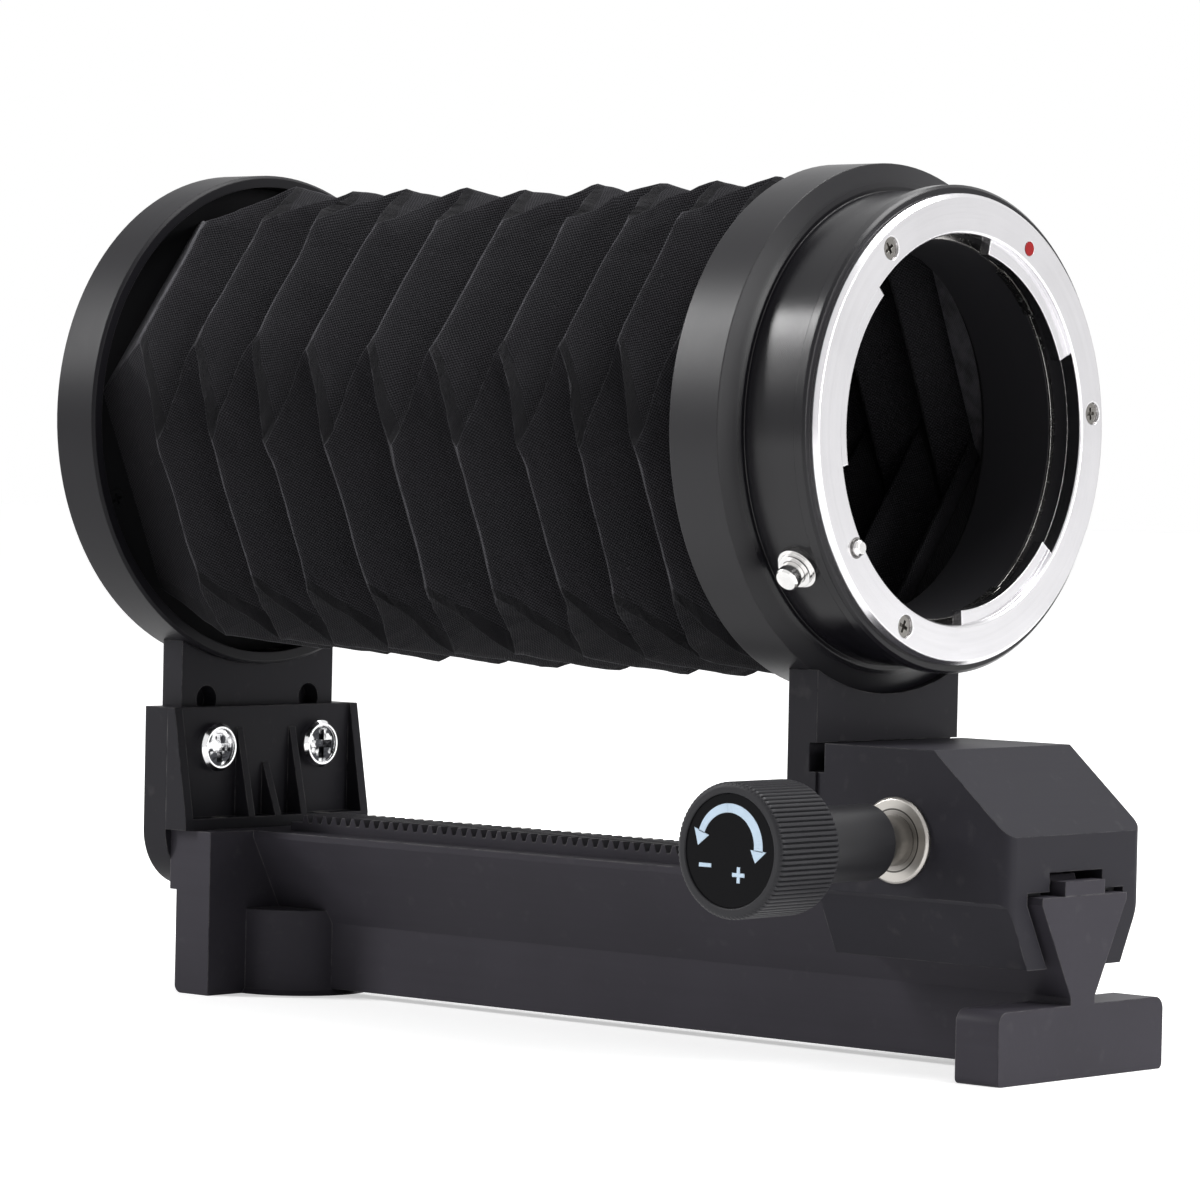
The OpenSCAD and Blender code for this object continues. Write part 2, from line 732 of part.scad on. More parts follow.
module rear_ring_screw_places() {
    for (s = [-1, 1]) radial(rear_floor_x + small_head_r + 0.1, -90 + s * ring_screw_a,
        rear_ring_r - cup_wall + head_sink) rotate([180, 0, 0]) children();
}

module frame_screw_places(x) {
    on_axis(x) for (k = [0:2]) rotate([0, 0, 90 + fold_turn + 120 * k])
        translate([frame_screw_r, 0, 0]) children();
}

module cam_screw_places() {
    on_axis(cam_face_x) for (k = [0:3]) rotate([0, 0, 45 + 90 * k])
        translate([cam_screw_r, 0, 0]) rotate([180, 0, 0]) children();
}

module rear_ring() {
    edge = 0.4;
    inner = rear_ring_r - cup_wall;
    color(satin_black) difference() {
        turned([[cam_barrel_r, rear_ring_x], [rear_ring_r - edge, rear_ring_x],
            [rear_ring_r, rear_ring_x + edge], [rear_ring_r, rear_rim_x - edge],
            [rear_ring_r - edge, rear_rim_x], [inner, rear_rim_x],
            [inner, rear_floor_x], [cam_barrel_r, rear_floor_x]]);
        rear_ring_screw_places() small_seat(cup_wall + ring_bite);
        frame_screw_places(rear_frame_x) small_seat(frame_t + floor_t - 0.6);
        cam_screw_places() small_seat(cam_flange_t + floor_t - 0.4);
    }
}

module rear_ring_screws() {
    color(steel) rear_ring_screw_places() small_screw(cup_wall + ring_bite);
}

module camera_bayonet() {
    barrel_x = cam_face_x - cam_barrel_l;
    color(silver) difference() {
        union() {
            turned([[cam_throat_r, barrel_x], [cam_barrel_r - 0.3, barrel_x],
                [cam_barrel_r, barrel_x + 0.3], [cam_barrel_r, cam_face_x],
                [cam_flange_r - 0.4, cam_face_x], [cam_flange_r, cam_face_x + 0.4],
                [cam_flange_r, rear_ring_x], [cam_throat_r, rear_ring_x]]);
            on_axis(cam_face_x - lug_gap - lug_t) for (k = [0:2]) intersection() {
                ring(cam_barrel_r + lug_out, cam_throat_r + 0.4, lug_t);
                linear_extrude(lug_t) slice(63 + 120 * k, 117 + 120 * k);
            }
        }
        cam_screw_places() small_seat(cam_flange_t + 1);
    }
}

module camera_mount_screws() {
    color(steel) cam_screw_places() small_screw(cam_flange_t + floor_t - 0.6);
}

module bellows_frame(x, outer) {
    on_axis(x) ring(outer, collar_in, frame_t);
}

module bellows_rear_frame() {
    color(steel) difference() {
        bellows_frame(rear_floor_x, rear_ring_r - cup_wall - 0.1);
        frame_screw_places(rear_frame_x) small_seat(frame_t + 1);
    }
}

module rear_frame_screws() {
    color(steel) frame_screw_places(rear_frame_x) small_screw(frame_t + floor_t - 0.8);
}

// ---------- bellows ----------

// The six fold faces take turns: where three of them stand out, the three
// between them stand in, and half a pleat further on they change over.
fold_x0 = rear_rim_x + first_ridge;
fold_x1 = front_ring_x - last_ridge;
ridge_step = (fold_x1 - fold_x0) / (ridges - 1);

function ridge_x(i) = fold_x0 + i * ridge_step
    + drift * exp(-pow((i / (ridges - 1) - 0.74) / 0.2, 2)) * sin(180 * i / (ridges - 1));

// Corner between two neighbouring faces, from their distances and angles
function corner(a, b, angle) =
    [a * sin(angle + 60) - b * sin(angle), b * cos(angle) - a * cos(angle + 60)] / sin(60);

function section(x, even, odd) = [for (k = [0:5]) let (
        angle = 90 + fold_turn + 60 * k,
        p = k % 2 == 0 ? corner(even, odd, angle) : corner(odd, even, angle))
    [x, p[0], axis_z + p[1]]];

function cloth_sections(inset) = concat(
    [section(rear_frame_x, collar_in - inset, collar_in - inset)],
    [for (i = [0:ridges - 1]) i % 2 == 0
        ? section(ridge_x(i), fold_in - inset, fold_out - inset)
        : section(ridge_x(i), fold_out - inset, fold_in - inset)],
    [section(fold_x1 + 1.0, collar_in + 1.5 - inset, collar_in + 1.5 - inset),
        section(front_frame_x - cloth_gap, collar_in - inset, collar_in - inset)]);

module bellows() {
    n = ridges + 3;
    points = [for (inset = [0, cloth], s = cloth_sections(inset), p = s) p];
    function at(side, row, k) = side * n * 6 + row * 6 + k % 6;
    outside = [for (i = [0:n - 2], k = [0:5], t = [0, 1]) t == 0
        ? [at(0, i, k), at(0, i + 1, k), at(0, i, k + 1)]
        : [at(0, i, k + 1), at(0, i + 1, k), at(0, i + 1, k + 1)]];
    inside = [for (i = [0:n - 2], k = [0:5], t = [0, 1]) t == 0
        ? [at(1, i, k), at(1, i, k + 1), at(1, i + 1, k)]
        : [at(1, i, k + 1), at(1, i + 1, k + 1), at(1, i + 1, k)]];
    rear_end = [for (k = [0:5], t = [0, 1]) t == 0
        ? [at(0, 0, k), at(0, 0, k + 1), at(1, 0, k)]
        : [at(1, 0, k), at(0, 0, k + 1), at(1, 0, k + 1)]];
    front_end = [for (k = [0:5], t = [0, 1]) t == 0
        ? [at(0, n - 1, k), at(1, n - 1, k), at(0, n - 1, k + 1)]
        : [at(1, n - 1, k), at(1, n - 1, k + 1), at(0, n - 1, k + 1)]];
    color(cloth_black) polyhedron(points, concat(outside, inside, rear_end, front_end));
}

// ---------- carriage ----------

module block_section() {
    half = block_w / 2;
    rack_half = rack_w / 2 + rack_side;
    skirt_z = shoulder_z - skirt_h;
    polygon(mirrored([[half, block_z], [half, skirt_z], [half - 0.7, skirt_z - 0.5],
        [jaw_out, jaw_z], [jaw_in, jaw_z], [slot_half, shoulder_z - shoulder_edge],
        [slot_half, shoulder_z + liner_top], [rack_half, shoulder_z + liner_top],
        [rack_half, slot_roof_z]]));
}

module std_block_screw_places() {
    for (y = [-1, 1])
        translate([front_std_x, y * front_std_w * 0.3, block_z - notch_h - mid_head_r - 0.3])
            rotate([0, -90, 0]) children();
}

// Block seen from above, with its two front corners round
module block_plan() {
    translate([block_x0, -block_w / 2]) square([block_l - block_r, block_w]);
    translate([block_x0, block_r - block_w / 2]) square([block_l, block_w - 2 * block_r]);
    for (s = [-1, 1]) translate([block_x1 - block_r, s * (block_w / 2 - block_r)]) circle(block_r);
}

module carriage_block() {
    color(metal_black) difference() {
        intersection() {
            along_x(block_x0, block_l) block_section();
            linear_extrude(block_z + 1) block_plan();
        }
        across_y(block_w + 2) polygon([[block_x1 - chamfer_l, block_z + eps],
            [block_x1 + eps, block_z - chamfer_h], [block_x1 + 1, block_z - chamfer_h],
            [block_x1 + 1, block_z + 1], [block_x1 - chamfer_l, block_z + 1]]);
        translate([block_x0 - 1, -block_w / 2 - 1, block_z - notch_h])
            cube([notch_d + 1, block_w + 2, notch_h + 1]);
        on_shaft(-block_w / 2 - 1) cylinder(r = bearing_r, h = block_w + 2);
        on_shaft(-cavity_half) cylinder(r = cavity_r, h = 2 * cavity_half);
        std_block_screw_places() translate([0, 0, -front_std_t - 7]) cylinder(r = mid_r, h = 8);
    }
}

// One liner, bearing on a shoulder and on the slope below it
module liner_section() {
    gap = liner_play;
    side_gap = gap * sqrt(1 + slope * slope);
    top_z = shoulder_z + gap;
    edge_z = shoulder_z - shoulder_edge;
    half_top = shoulder_w / 2 + side_gap;
    low_z = jaw_z + 0.6;
    low_y = slot_half - slope * (edge_z - low_z);
    polygon([[rack_w / 2 + rack_side, shoulder_z + liner_top], [slot_half, shoulder_z + liner_top],
        [slot_half, edge_z], [low_y, low_z], [low_y - liner_room + side_gap, low_z],
        [half_top, edge_z], [half_top, top_z], [rack_w / 2 + rack_side, top_z]]);
}

module slide_liners() {
    color([0.75, 0.75, 0.72]) for (s = [0, 1]) mirror([0, s, 0])
        along_x(block_x0 + liner_end, block_l - 2 * liner_end) liner_section();
}

// Flanged bearing from the pinion cavity to the block's side
module bushing() {
    bore = shaft_r + shaft_play;
    barrel_l = block_w / 2 - cavity_half;
    difference() {
        union() {
            cylinder(r = bearing_r, h = barrel_l);
            translate([0, 0, barrel_l]) cylinder(r = flange_r, h = flange_t * 0.6);
            translate([0, 0, barrel_l + flange_t * 0.6])
                cylinder(r1 = flange_r, r2 = flange_r - flange_t * 0.4, h = flange_t * 0.4);
        }
        translate([0, 0, -1]) cylinder(r = bore, h = barrel_l + flange_t + 2);
    }
}

module near_bushing() { color(nickel) on_shaft(-cavity_half) rotate([180, 0, 0]) bushing(); }
module far_bushing() { color(nickel) on_shaft(cavity_half) bushing(); }

module front_standard() {
    low_z = slot_roof_z;
    color(metal_black) difference() {
        translate([front_std_x, -front_std_w / 2, low_z])
            cube([front_std_t, front_std_w, axis_z - low_z]);
        on_axis(front_std_x - 1) cylinder(r = front_ring_r, h = front_std_t + 2);
        translate([front_std_x - 1, -front_std_w, axis_z - front_ring_r * 0.87])
            cube([front_std_t + 2, 2 * front_std_w, front_ring_r]);
        translate([block_x0 - notch_d, -front_std_w / 2 - 1, block_z - notch_h])
            cube([notch_d + 1, front_std_w + 2, notch_h]);
        std_block_screw_places() mid_seat(front_std_t + 1);
        front_ring_screw_places() translate([0, 0, -ring_screw_l - 1])
            cylinder(r = small_r, h = ring_screw_l);
    }
}

module front_standard_screws() {
    color(steel) std_block_screw_places() mid_screw(front_std_t + 6);
}

module front_ring_screw_places() {
    for (s = [-1, 1]) radial(cone_x - small_r - 0.15, -90 + s * ring_screw_a, ledge_r + head_sink)
        rotate([180, 0, 0]) children();
}

module mount_screw_places() {
    on_axis(mount_face_x - mount_screw_sink) for (k = [0:2]) rotate([0, 0, 5.5 + 120 * k])
        translate([mount_screw_r, 0, 0]) children();
}

module pin_places(x) {
    on_axis(x) rotate([0, 0, release_a]) translate([pin_off, 0, 0]) children();
}

pin_off = throat_r + pin_r + pin_wall;
sleeve_low = max(tube_r - sleeve_in, pin_off + pin_r + 0.3);
leaf_x = mount_face_x - tab_sink - tab_t - 2.6;
pin_floor_x = front_floor_x + 0.6;

module front_ring() {
    edge = 0.4;
    cup_r = front_ring_r - cup_wall;
    wide_r = throat_r + 0.15;
    lip_front_x = lip_x + lip_w;
    color(satin_black) difference() {
        turned([[cup_r, front_ring_x], [front_ring_r - edge, front_ring_x],
            [front_ring_r, front_ring_x + edge], [front_ring_r, cone_x],
            [cone_r, tube_x], [tube_r, tube_x], [tube_r, lip_x], [lip_r, lip_x + edge],
            [lip_r, lip_front_x - edge], [lip_r - edge, lip_front_x], [mount_r, lip_front_x],
            [mount_r, mount_back_x], [wide_r, mount_back_x], [wide_r, leaf_x],
            [ledge_r, leaf_x], [ledge_r, front_floor_x], [cup_r, front_floor_x]]);
        front_ring_screw_places() small_seat(ring_screw_l);
        frame_screw_places(front_frame_x) rotate([180, 0, 0]) small_seat(frame_t + frame_bite + 0.2);
        mount_screw_places() small_seat(mount_t + mount_bite + 0.5);
        pin_places(pin_floor_x) cylinder(r = pin_r + 0.05, h = mount_face_x - pin_floor_x);
        radial(release_x, release_a, pin_off) cylinder(r = button_r + 0.05, h = 10);
        radial(release_x, release_a, sleeve_low) cylinder(r = sleeve_r, h = 10);
    }
}

module front_ring_screws() {
    color(steel) front_ring_screw_places() small_screw(ring_screw_l);
}

module bellows_front_frame() {
    color(steel) difference() {
        bellows_frame(front_frame_x, front_ring_r - cup_wall - 0.1);
        frame_screw_places(front_frame_x) rotate([180, 0, 0]) small_seat(frame_t + 1);
    }
}

module front_frame_screws() {
    color(steel) frame_screw_places(front_frame_x) rotate([180, 0, 0]) small_screw(frame_t + frame_bite);
}

// ---------- lens mount ----------

module bayonet_ring() {
    outer_edge = 0.6;
    inner_edge = 0.25;
    color(silver) difference() {
        union() {
            turned([[throat_r, mount_back_x], [mount_r, mount_back_x],
                [mount_r, mount_face_x - outer_edge], [mount_r - outer_edge, mount_face_x],
                [throat_r + inner_edge, mount_face_x], [throat_r, mount_face_x - inner_edge]]);
            on_axis(mount_face_x - tab_sink - tab_t) for (a = [[24, 77], [134.5, 192], [273, 322]]) intersection() {
                ring(throat_r + 0.1, tab_r, tab_t);
                linear_extrude(tab_t) slice(a[0], a[1]);
            }
        }
        mount_screw_places() small_seat(mount_t + 1);
        pin_places(mount_back_x - 1) cylinder(r = pin_r + 0.05, h = mount_t + 2);
        dot_place() cylinder(r = dot_r, h = 1);
    }
}

module mount_screws() {
    color(silver) mount_screw_places() small_screw(mount_t + mount_bite);
}

module dot_place() {
    on_axis(mount_face_x - 0.5) rotate([0, 0, 61.6]) translate([29.0, 0, 0]) children();
}

module index_dot() {
    color([0.75, 0.08, 0.08]) dot_place() cylinder(r = dot_r, h = 0.55);
}

// Flat band on a ledge behind the tabs, with three raised leaves
module bayonet_spring() {
    outer = throat_r + 0.1;
    inner = throat_r - 0.7;
    color(nickel) on_axis(leaf_x) {
        ring(outer, inner, leaf_t);
        for (a = [40, 160, 282]) intersection() {
            ring(outer, inner - 0.6, leaf_t + 1.2);
            linear_extrude(leaf_t + 1.2) slice(a, a + 20);
        }
    }
}

// ---------- lens release ----------

module button_sleeve() {
    l = tube_r + sleeve_up - sleeve_low;
    color(silver) radial(release_x, release_a, sleeve_low) {
        ring(sleeve_r, button_r + 0.05, l);
        ring(step_r, button_r + 0.05, l + step_up);
    }
}

// The button's wedge and the pin's sloping notch are at 45 degrees, so the pin
// draws back as far as the button is pressed.
wedge_half = 0.6;
wedge_low = pin_off + 0.55;

module release_button() {
    top = tube_r + button_up;
    stem = pin_off + pin_r + release_travel + 0.4;
    color(silver) {
        radial(release_x, release_a, stem) {
            cylinder(r = button_r, h = top - stem - 0.3);
            translate([0, 0, top - stem - 0.3]) cylinder(r1 = button_r, r2 = button_r - 0.3, h = 0.3);
        }
        on_axis(release_x) rotate([0, 0, release_a]) translate([0, 0.8, 0]) rotate([90, 0, 0])
            linear_extrude(1.6) polygon([[wedge_low, wedge_half], [wedge_low + 2 * wedge_half,
                -wedge_half], [stem + 0.2, -wedge_half], [stem + 0.2, wedge_half]]);
    }
}

module lock_pin() {
    back = release_x - 4.6;
    low = pin_off - 0.75;
    high = pin_off + pin_r + 0.1;
    sum = wedge_low + wedge_half - 0.1;
    color(silver) difference() {
        pin_places(back) {
            cylinder(r = pin_r, h = mount_face_x + pin_up - 0.3 - back);
            translate([0, 0, mount_face_x + pin_up - 0.3 - back])
                cylinder(r1 = pin_r, r2 = pin_r - 0.3, h = 0.3);
        }
        on_axis(release_x) rotate([0, 0, release_a]) translate([0, 3, 0]) rotate([90, 0, 0])
            linear_extrude(6) polygon([[high, sum - high], [low, sum - low],
                [low, sum - low + 0.25], [high, sum - low + 0.25]]);
    }
}

// Coil behind the lock pin
module pin_spring() {
    wire = 0.14;
    coil = pin_r - 0.3;
    turns = 5;
    steps = 10;
    sides = 6;
    x0 = pin_floor_x + wire + 0.02;
    x1 = release_x - 4.6 - wire - 0.02;
    n = turns * steps;
    points = [for (i = [0:n], s = [0:sides - 1]) let (
            a = 360 * i / steps, r = coil + wire * cos(360 * s / sides))
        [r * cos(a), r * sin(a), (x1 - x0) * i / n + wire * sin(360 * s / sides)]];
    function at(i, s) = i * sides + s % sides;
    walls = [for (i = [0:n - 1], s = [0:sides - 1], t = [0, 1]) t == 0
        ? [at(i, s), at(i, s + 1), at(i + 1, s)]
        : [at(i, s + 1), at(i + 1, s + 1), at(i + 1, s)]];
    ends = concat([for (s = [1:sides - 2]) [at(0, 0), at(0, s + 1), at(0, s)]],
        [for (s = [1:sides - 2]) [at(n, 0), at(n, s), at(n, s + 1)]]);
    color(steel) pin_places(x0) polyhedron(points, concat(walls, ends));
}

// ---------- drive and lock ----------

function unwind(angle) = tan(angle) * 180 / PI - angle;

// Involute pinion with one tooth pointing down
module pinion_outline() {
    base_r = pitch_r * cos(20);
    half = (pitch - backlash) / 4 / pitch_r * 180 / PI + unwind(20);
    root_r = pitch_r - dedendum;
    radii = [for (k = [0:3]) base_r + (pitch_r + addendum - base_r) * k / 3];
    rise = concat([[root_r, half]], [for (r = radii) [r, half - unwind(acos(base_r / r))]]);
    side = [for (p = rise) [p[0], -p[1]]];
    drop = [for (i = [len(rise) - 1:-1:0]) rise[i]];
    polygon([for (t = [0:teeth - 1], p = concat(side, drop)) let (a = 90 + t * 360 / teeth + p[1])
        p[0] * [cos(a), sin(a)]]);
}

module pinion_shaft() {
    far_end = drive_y + drive_l - 3.0;
    color(nickel) difference() {
        union() {
            on_shaft(-pinion_half) linear_extrude(2 * pinion_half) pinion_outline();
            on_shaft(shaft_step_y) cylinder(r = shaft_r, h = drive_y - shaft_step_y);
            on_shaft(thread_end_y) cylinder(r = thread_r, h = shaft_step_y - thread_end_y + 1);
            on_shaft(drive_y - 1) cylinder(r = stub_r, h = far_end - drive_y + 1);
        }
        on_shaft(far_end - 6) cylinder(r = 1.2, h = 7);
    }
}

module drive_knob() {
    recess = 1.9;
    color(satin_black) on_shaft(drive_y) difference() {
        ribbed_grip(drive_r, drive_l, drive_ribs, rib_depth, 0.6);
        translate([0, 0, -1]) cylinder(r = stub_r, h = drive_l + 2);
        translate([0, 0, drive_l - recess]) cylinder(r = drive_r - 2.2, h = recess + 1);
    }
}

module drive_knob_screw() {
    recess = 1.9;
    color(steel) on_shaft(drive_y + drive_l - recess)
        pan_screw(drive_screw_r + 0.5, 1.2, 1.2, 5.5);
}

// Loose sleeve on the shaft between the bearing's flange and the collar
module spacer_sleeve() {
    bearing_face_y = near_face_y - flange_t;
    l = collar_gap + spacer_in - shaft_play;
    color(nickel) on_shaft(bearing_face_y - shaft_play - l) ring(spacer_r, shaft_r + shaft_play, l);
}

module thrust_collar() {
    bore_l = spacer_in + lock_travel;
    color(satin_black) on_shaft(knob_y + 0.05) difference() {
        ring(collar_r, shaft_r + shaft_play, collar_l - 0.05);
        translate([0, 0, collar_l - 0.05 - bore_l]) cylinder(r = spacer_r + 0.1, h = bore_l + 1);
    }
}

module lock_knob() {
    color(satin_black) on_shaft(knob_end_y) difference() {
        ribbed_grip(knob_r, knob_l, knob_ribs, rib_depth, 0.5);
        translate([0, 0, -1]) cylinder(r = knob_insert_r, h = knob_l + 2);
        translate([0, 0, -1]) cylinder(r = cap_r, h = cap_t + cap_sink + 1);
    }
}

module knob_insert() {
    l = knob_l - cap_t - cap_sink;
    color([0.72, 0.58, 0.30]) on_shaft(knob_y - l) ring(knob_insert_r, thread_r + shaft_play, l);
}

module knob_cap() {
    color(satin_black) on_shaft(knob_end_y + cap_sink) cylinder(r = cap_r, h = cap_t);
}

rail();
rack();
tripod_insert();
back_plate();
back_plate_screws();
rear_bracket();
bracket_base_screws();
rear_standard();
standard_screws();
standard_nuts();
rear_ring();
rear_ring_screws();
camera_bayonet();
camera_mount_screws();
bellows_rear_frame();
rear_frame_screws();
bellows();
carriage_block();
slide_liners();
near_bushing();
far_bushing();
front_standard();
front_standard_screws();
front_ring();
front_ring_screws();
bellows_front_frame();
front_frame_screws();
bayonet_ring();
mount_screws();
index_dot();
bayonet_spring();
button_sleeve();
pin_spring();
lock_pin();
release_button();
pinion_shaft();
spacer_sleeve();
drive_knob();
drive_knob_screw();
thrust_collar();
lock_knob();
knob_insert();
knob_cap();
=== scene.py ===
# %% [markdown]
# # A macro bellows unit
# A bellows unit holds a lens away from a camera so that small things look large.
# This one has a long rail, a fixed standard for the camera, a sliding standard
# for the lens and a black six-sided bellows between them.
# The rail, blocks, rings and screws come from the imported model. This script
# makes the cloth, the two ribbed knobs, the marks on the disc and every finish.

# %% Load the frame
import math

import bmesh
import bpy
from mathutils import Matrix, Vector


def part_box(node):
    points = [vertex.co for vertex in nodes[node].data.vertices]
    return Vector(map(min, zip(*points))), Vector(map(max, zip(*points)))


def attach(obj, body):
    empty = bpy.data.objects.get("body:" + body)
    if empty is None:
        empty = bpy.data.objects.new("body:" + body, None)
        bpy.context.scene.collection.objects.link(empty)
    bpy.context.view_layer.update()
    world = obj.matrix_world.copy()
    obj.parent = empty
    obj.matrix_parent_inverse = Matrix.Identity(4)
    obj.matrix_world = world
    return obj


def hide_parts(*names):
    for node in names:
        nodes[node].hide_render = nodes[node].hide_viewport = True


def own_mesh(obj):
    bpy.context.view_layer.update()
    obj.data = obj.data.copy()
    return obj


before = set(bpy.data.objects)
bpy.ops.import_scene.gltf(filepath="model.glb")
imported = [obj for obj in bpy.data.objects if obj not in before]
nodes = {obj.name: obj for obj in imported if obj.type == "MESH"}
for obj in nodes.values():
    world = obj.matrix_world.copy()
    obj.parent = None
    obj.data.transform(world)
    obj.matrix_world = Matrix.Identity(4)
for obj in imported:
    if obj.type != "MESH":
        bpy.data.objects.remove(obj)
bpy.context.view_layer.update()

MM = 0.001
print("nodes in the frame:", len(nodes))

# %% [markdown]
# Rules are easier to read as sums than as chains of nodes. A Field wraps one
# output of a node tree, and adding or multiplying two of them adds a Math node.
# It works in a shader and in Geometry Nodes, because both use the same node.

# %% Sums that build nodes


class Field:
    """One number of a node tree, which can be used in a plain sum."""

    def __init__(self, tree, socket):
        self.tree, self.socket = tree, socket

    def math(self, operation, *others):
        node = self.tree.nodes.new("ShaderNodeMath")
        node.operation = operation
        for slot, value in zip(node.inputs, (self, *others)):
            connect(self.tree, value, slot)
        return Field(self.tree, node.outputs[0])

    def __add__(self, other):
        return self.math("ADD", other)

    def __sub__(self, other):
        return self.math("SUBTRACT", other)

    def __mul__(self, other):
        return self.math("MULTIPLY", other)

    def __truediv__(self, other):
        return self.math("DIVIDE", other)

    def __pow__(self, other):
        return self.math("POWER", other)

    __radd__, __rmul__ = __add__, __mul__

    def __rsub__(self, other):
        return self * -1 + other

    def clamped(self):
        return self.math("MAXIMUM", 0.0).math("MINIMUM", 1.0)


def connect(tree, value, slot):
    """Puts a number, a socket or a Field into an input."""
    if isinstance(value, Field):
        value = value.socket
    if isinstance(value, bpy.types.NodeSocket):
        tree.links.new(value, slot)
    else:
        slot.default_value = value


def add_node(tree, kind, inputs=None, **settings):
    node = tree.nodes.new(kind)
    for key, value in settings.items():
        setattr(node, key, value)
    for key, value in (inputs or {}).items():
        connect(tree, value, node.inputs[key])
    return node


def length_of(across, up):
    """Length of the line whose two parts are given."""
    return (across * across + up * up) ** 0.5


print("sums ready")

# %% [markdown]
# ## Finishes
# Each finish is a Principled shader whose roughness, colour and bump come from
# noise on Object coordinates, so that nothing needs a picture file. Machined
# edges on real metal are never knife-sharp: the Bevel node rounds them in the
# shading alone, and where it bends the surface most, the black is rubbed lighter.

# %% A finish to start from


def new_finish(name, colour, roughness, metallic=0.0, specular=0.5):
    finish = bpy.data.materials.new(name)
    finish.use_nodes = True
    tree = finish.node_tree
    shader = tree.nodes["Principled BSDF"]
    shader.inputs["Base Color"].default_value = (*colour, 1)
    shader.inputs["Roughness"].default_value = roughness
    shader.inputs["Metallic"].default_value = metallic
    shader.inputs["Specular IOR Level"].default_value = specular
    place = tree.nodes.new("ShaderNodeTexCoord").outputs["Object"]
    return finish, tree, shader, place


def noise(tree, place, scale, detail=2.0, stretch=(1, 1, 1)):
    """Noise on a place in metres; a small stretch draws it out along that axis."""
    turned = add_node(tree, "ShaderNodeMapping", {"Vector": place, "Scale": stretch})
    made = add_node(tree, "ShaderNodeTexNoise",
                    {"Vector": turned.outputs[0], "Scale": scale, "Detail": detail})
    return Field(tree, made.outputs[0])


# Places of the sockets that a Mix node uses for colours
MIX_AMOUNT, MIX_UNDER, MIX_OVER, MIX_RESULT = 0, 6, 7, 2


def laid_over(tree, amount, under, colour):
    """A colour laid over a coloured socket by an amount from 0 to 1."""
    mix = add_node(tree, "ShaderNodeMix", {MIX_UNDER: under, MIX_OVER: (*colour, 1)}, data_type="RGBA")
    connect(tree, amount, mix.inputs[MIX_AMOUNT])
    return mix.outputs[MIX_RESULT]


def shade_between(tree, amount, dark, light):
    return laid_over(tree, amount, (*dark, 1), light)


def darker(colour, share):
    return tuple(c * share for c in colour)


def rounded_normal(tree, radius):
    return add_node(tree, "ShaderNodeBevel", {"Radius": radius}, samples=4).outputs[0]


LEAST_BEND, RUB_GAIN = 0.04, 6


def rubbed_edge(tree, rounded, patchy):
    """1 where the rounded normal leaves the true one, broken up by noise."""
    true = tree.nodes.new("ShaderNodeNewGeometry").outputs["True Normal"]
    dot = add_node(tree, "ShaderNodeVectorMath", {0: rounded, 1: true}, operation="DOT_PRODUCT")
    bend = Field(tree, dot.outputs["Value"]) * -1 + 1
    return ((bend - LEAST_BEND) * RUB_GAIN * patchy).clamped()


def bumped(tree, height, depth, normal=None, strength=1.0):
    inputs = {"Height": height, "Distance": depth, "Strength": strength}
    if normal is not None:
        inputs["Normal"] = normal
    return add_node(tree, "ShaderNodeBump", inputs).outputs[0]


HARD_EDGE = 20000  # a mask goes from 0 to 1 within 1 / HARD_EDGE of a metre


def within(distance, radius, hardness=HARD_EDGE):
    """1 nearer than a radius, 0 beyond it."""
    return ((radius - distance) * hardness).clamped()


def beyond(distance, radius, hardness=HARD_EDGE):
    """1 farther than a radius, 0 within it."""
    return ((distance - radius) * hardness).clamped()


print("finish helpers ready")

# %% [markdown]
# The rail, the sliding block and the standards are painted castings: a satin
# black with a fine skin, a little cloudy, with faint lines where the tool was
# drawn: noise stretched along X on the rail, Y on the block and Z on the plates.

# %% Painted castings
BARE_CASTING = (0.16, 0.155, 0.155)


def black_casting(name, shade, roughness, lines):
    finish, tree, shader, place = new_finish(name, shade, roughness, specular=0.09)
    cloudy = noise(tree, place, 70, 4)
    drawn = noise(tree, place, 900, 3, lines)
    skin = noise(tree, place, 2600, 2)
    rounded = rounded_normal(tree, 0.3 * MM)
    rubbed = rubbed_edge(tree, rounded, noise(tree, place, 340, 4) * 2.6 - 1.0)
    body = shade_between(tree, (cloudy - 0.3) * 1.6 + (drawn - 0.5) * 0.8, darker(shade, 0.82), shade)
    tree.links.new(laid_over(tree, rubbed * 0.9, body, BARE_CASTING), shader.inputs["Base Color"])
    connect(tree, cloudy * 0.14 + drawn * 0.1 + (roughness - 0.12), shader.inputs["Roughness"])
    normal = bumped(tree, skin * 0.6 + drawn * 0.4, 0.012 * MM, rounded, 0.6)
    tree.links.new(normal, shader.inputs["Normal"])
    return finish


ALONG_X, ALONG_Y, ALONG_Z = (0.03, 1, 1), (1, 0.08, 1), (1, 1, 0.06)
# One satin black in three shades: the rail's is painted lighter for the light it catches, the plates'
# darker as painted shade
rail_black = black_casting("rail_black", (0.0425, 0.0395, 0.0485), 0.46, ALONG_X)
block_black = black_casting("block_black", (0.0225, 0.0215, 0.0270), 0.48, ALONG_Y)
plate_black = black_casting("plate_black", (0.0165, 0.0158, 0.0195), 0.46, ALONG_Z)
print("castings:", rail_black.name, block_black.name, plate_black.name)

# %% [markdown]
# The rings are turned on a lathe and anodised. A lathe leaves fine lines that
# run round the axis, so the noise reads the distance from the axis and the
# place along it, and hardly the angle. The same helper serves the silver lens
# mount and the nickel parts, each with its own axis.

# %% Turned finishes
LITTLE_TURN = 0.4 * MM  # how far the noise moves for each radian round the axis
# Painted shade: the dark of a groove, and of the bore round a pin
GROOVE_SHADE, BORE_SHADE = (0.03, 0.028, 0.026), (0.10, 0.095, 0.09)


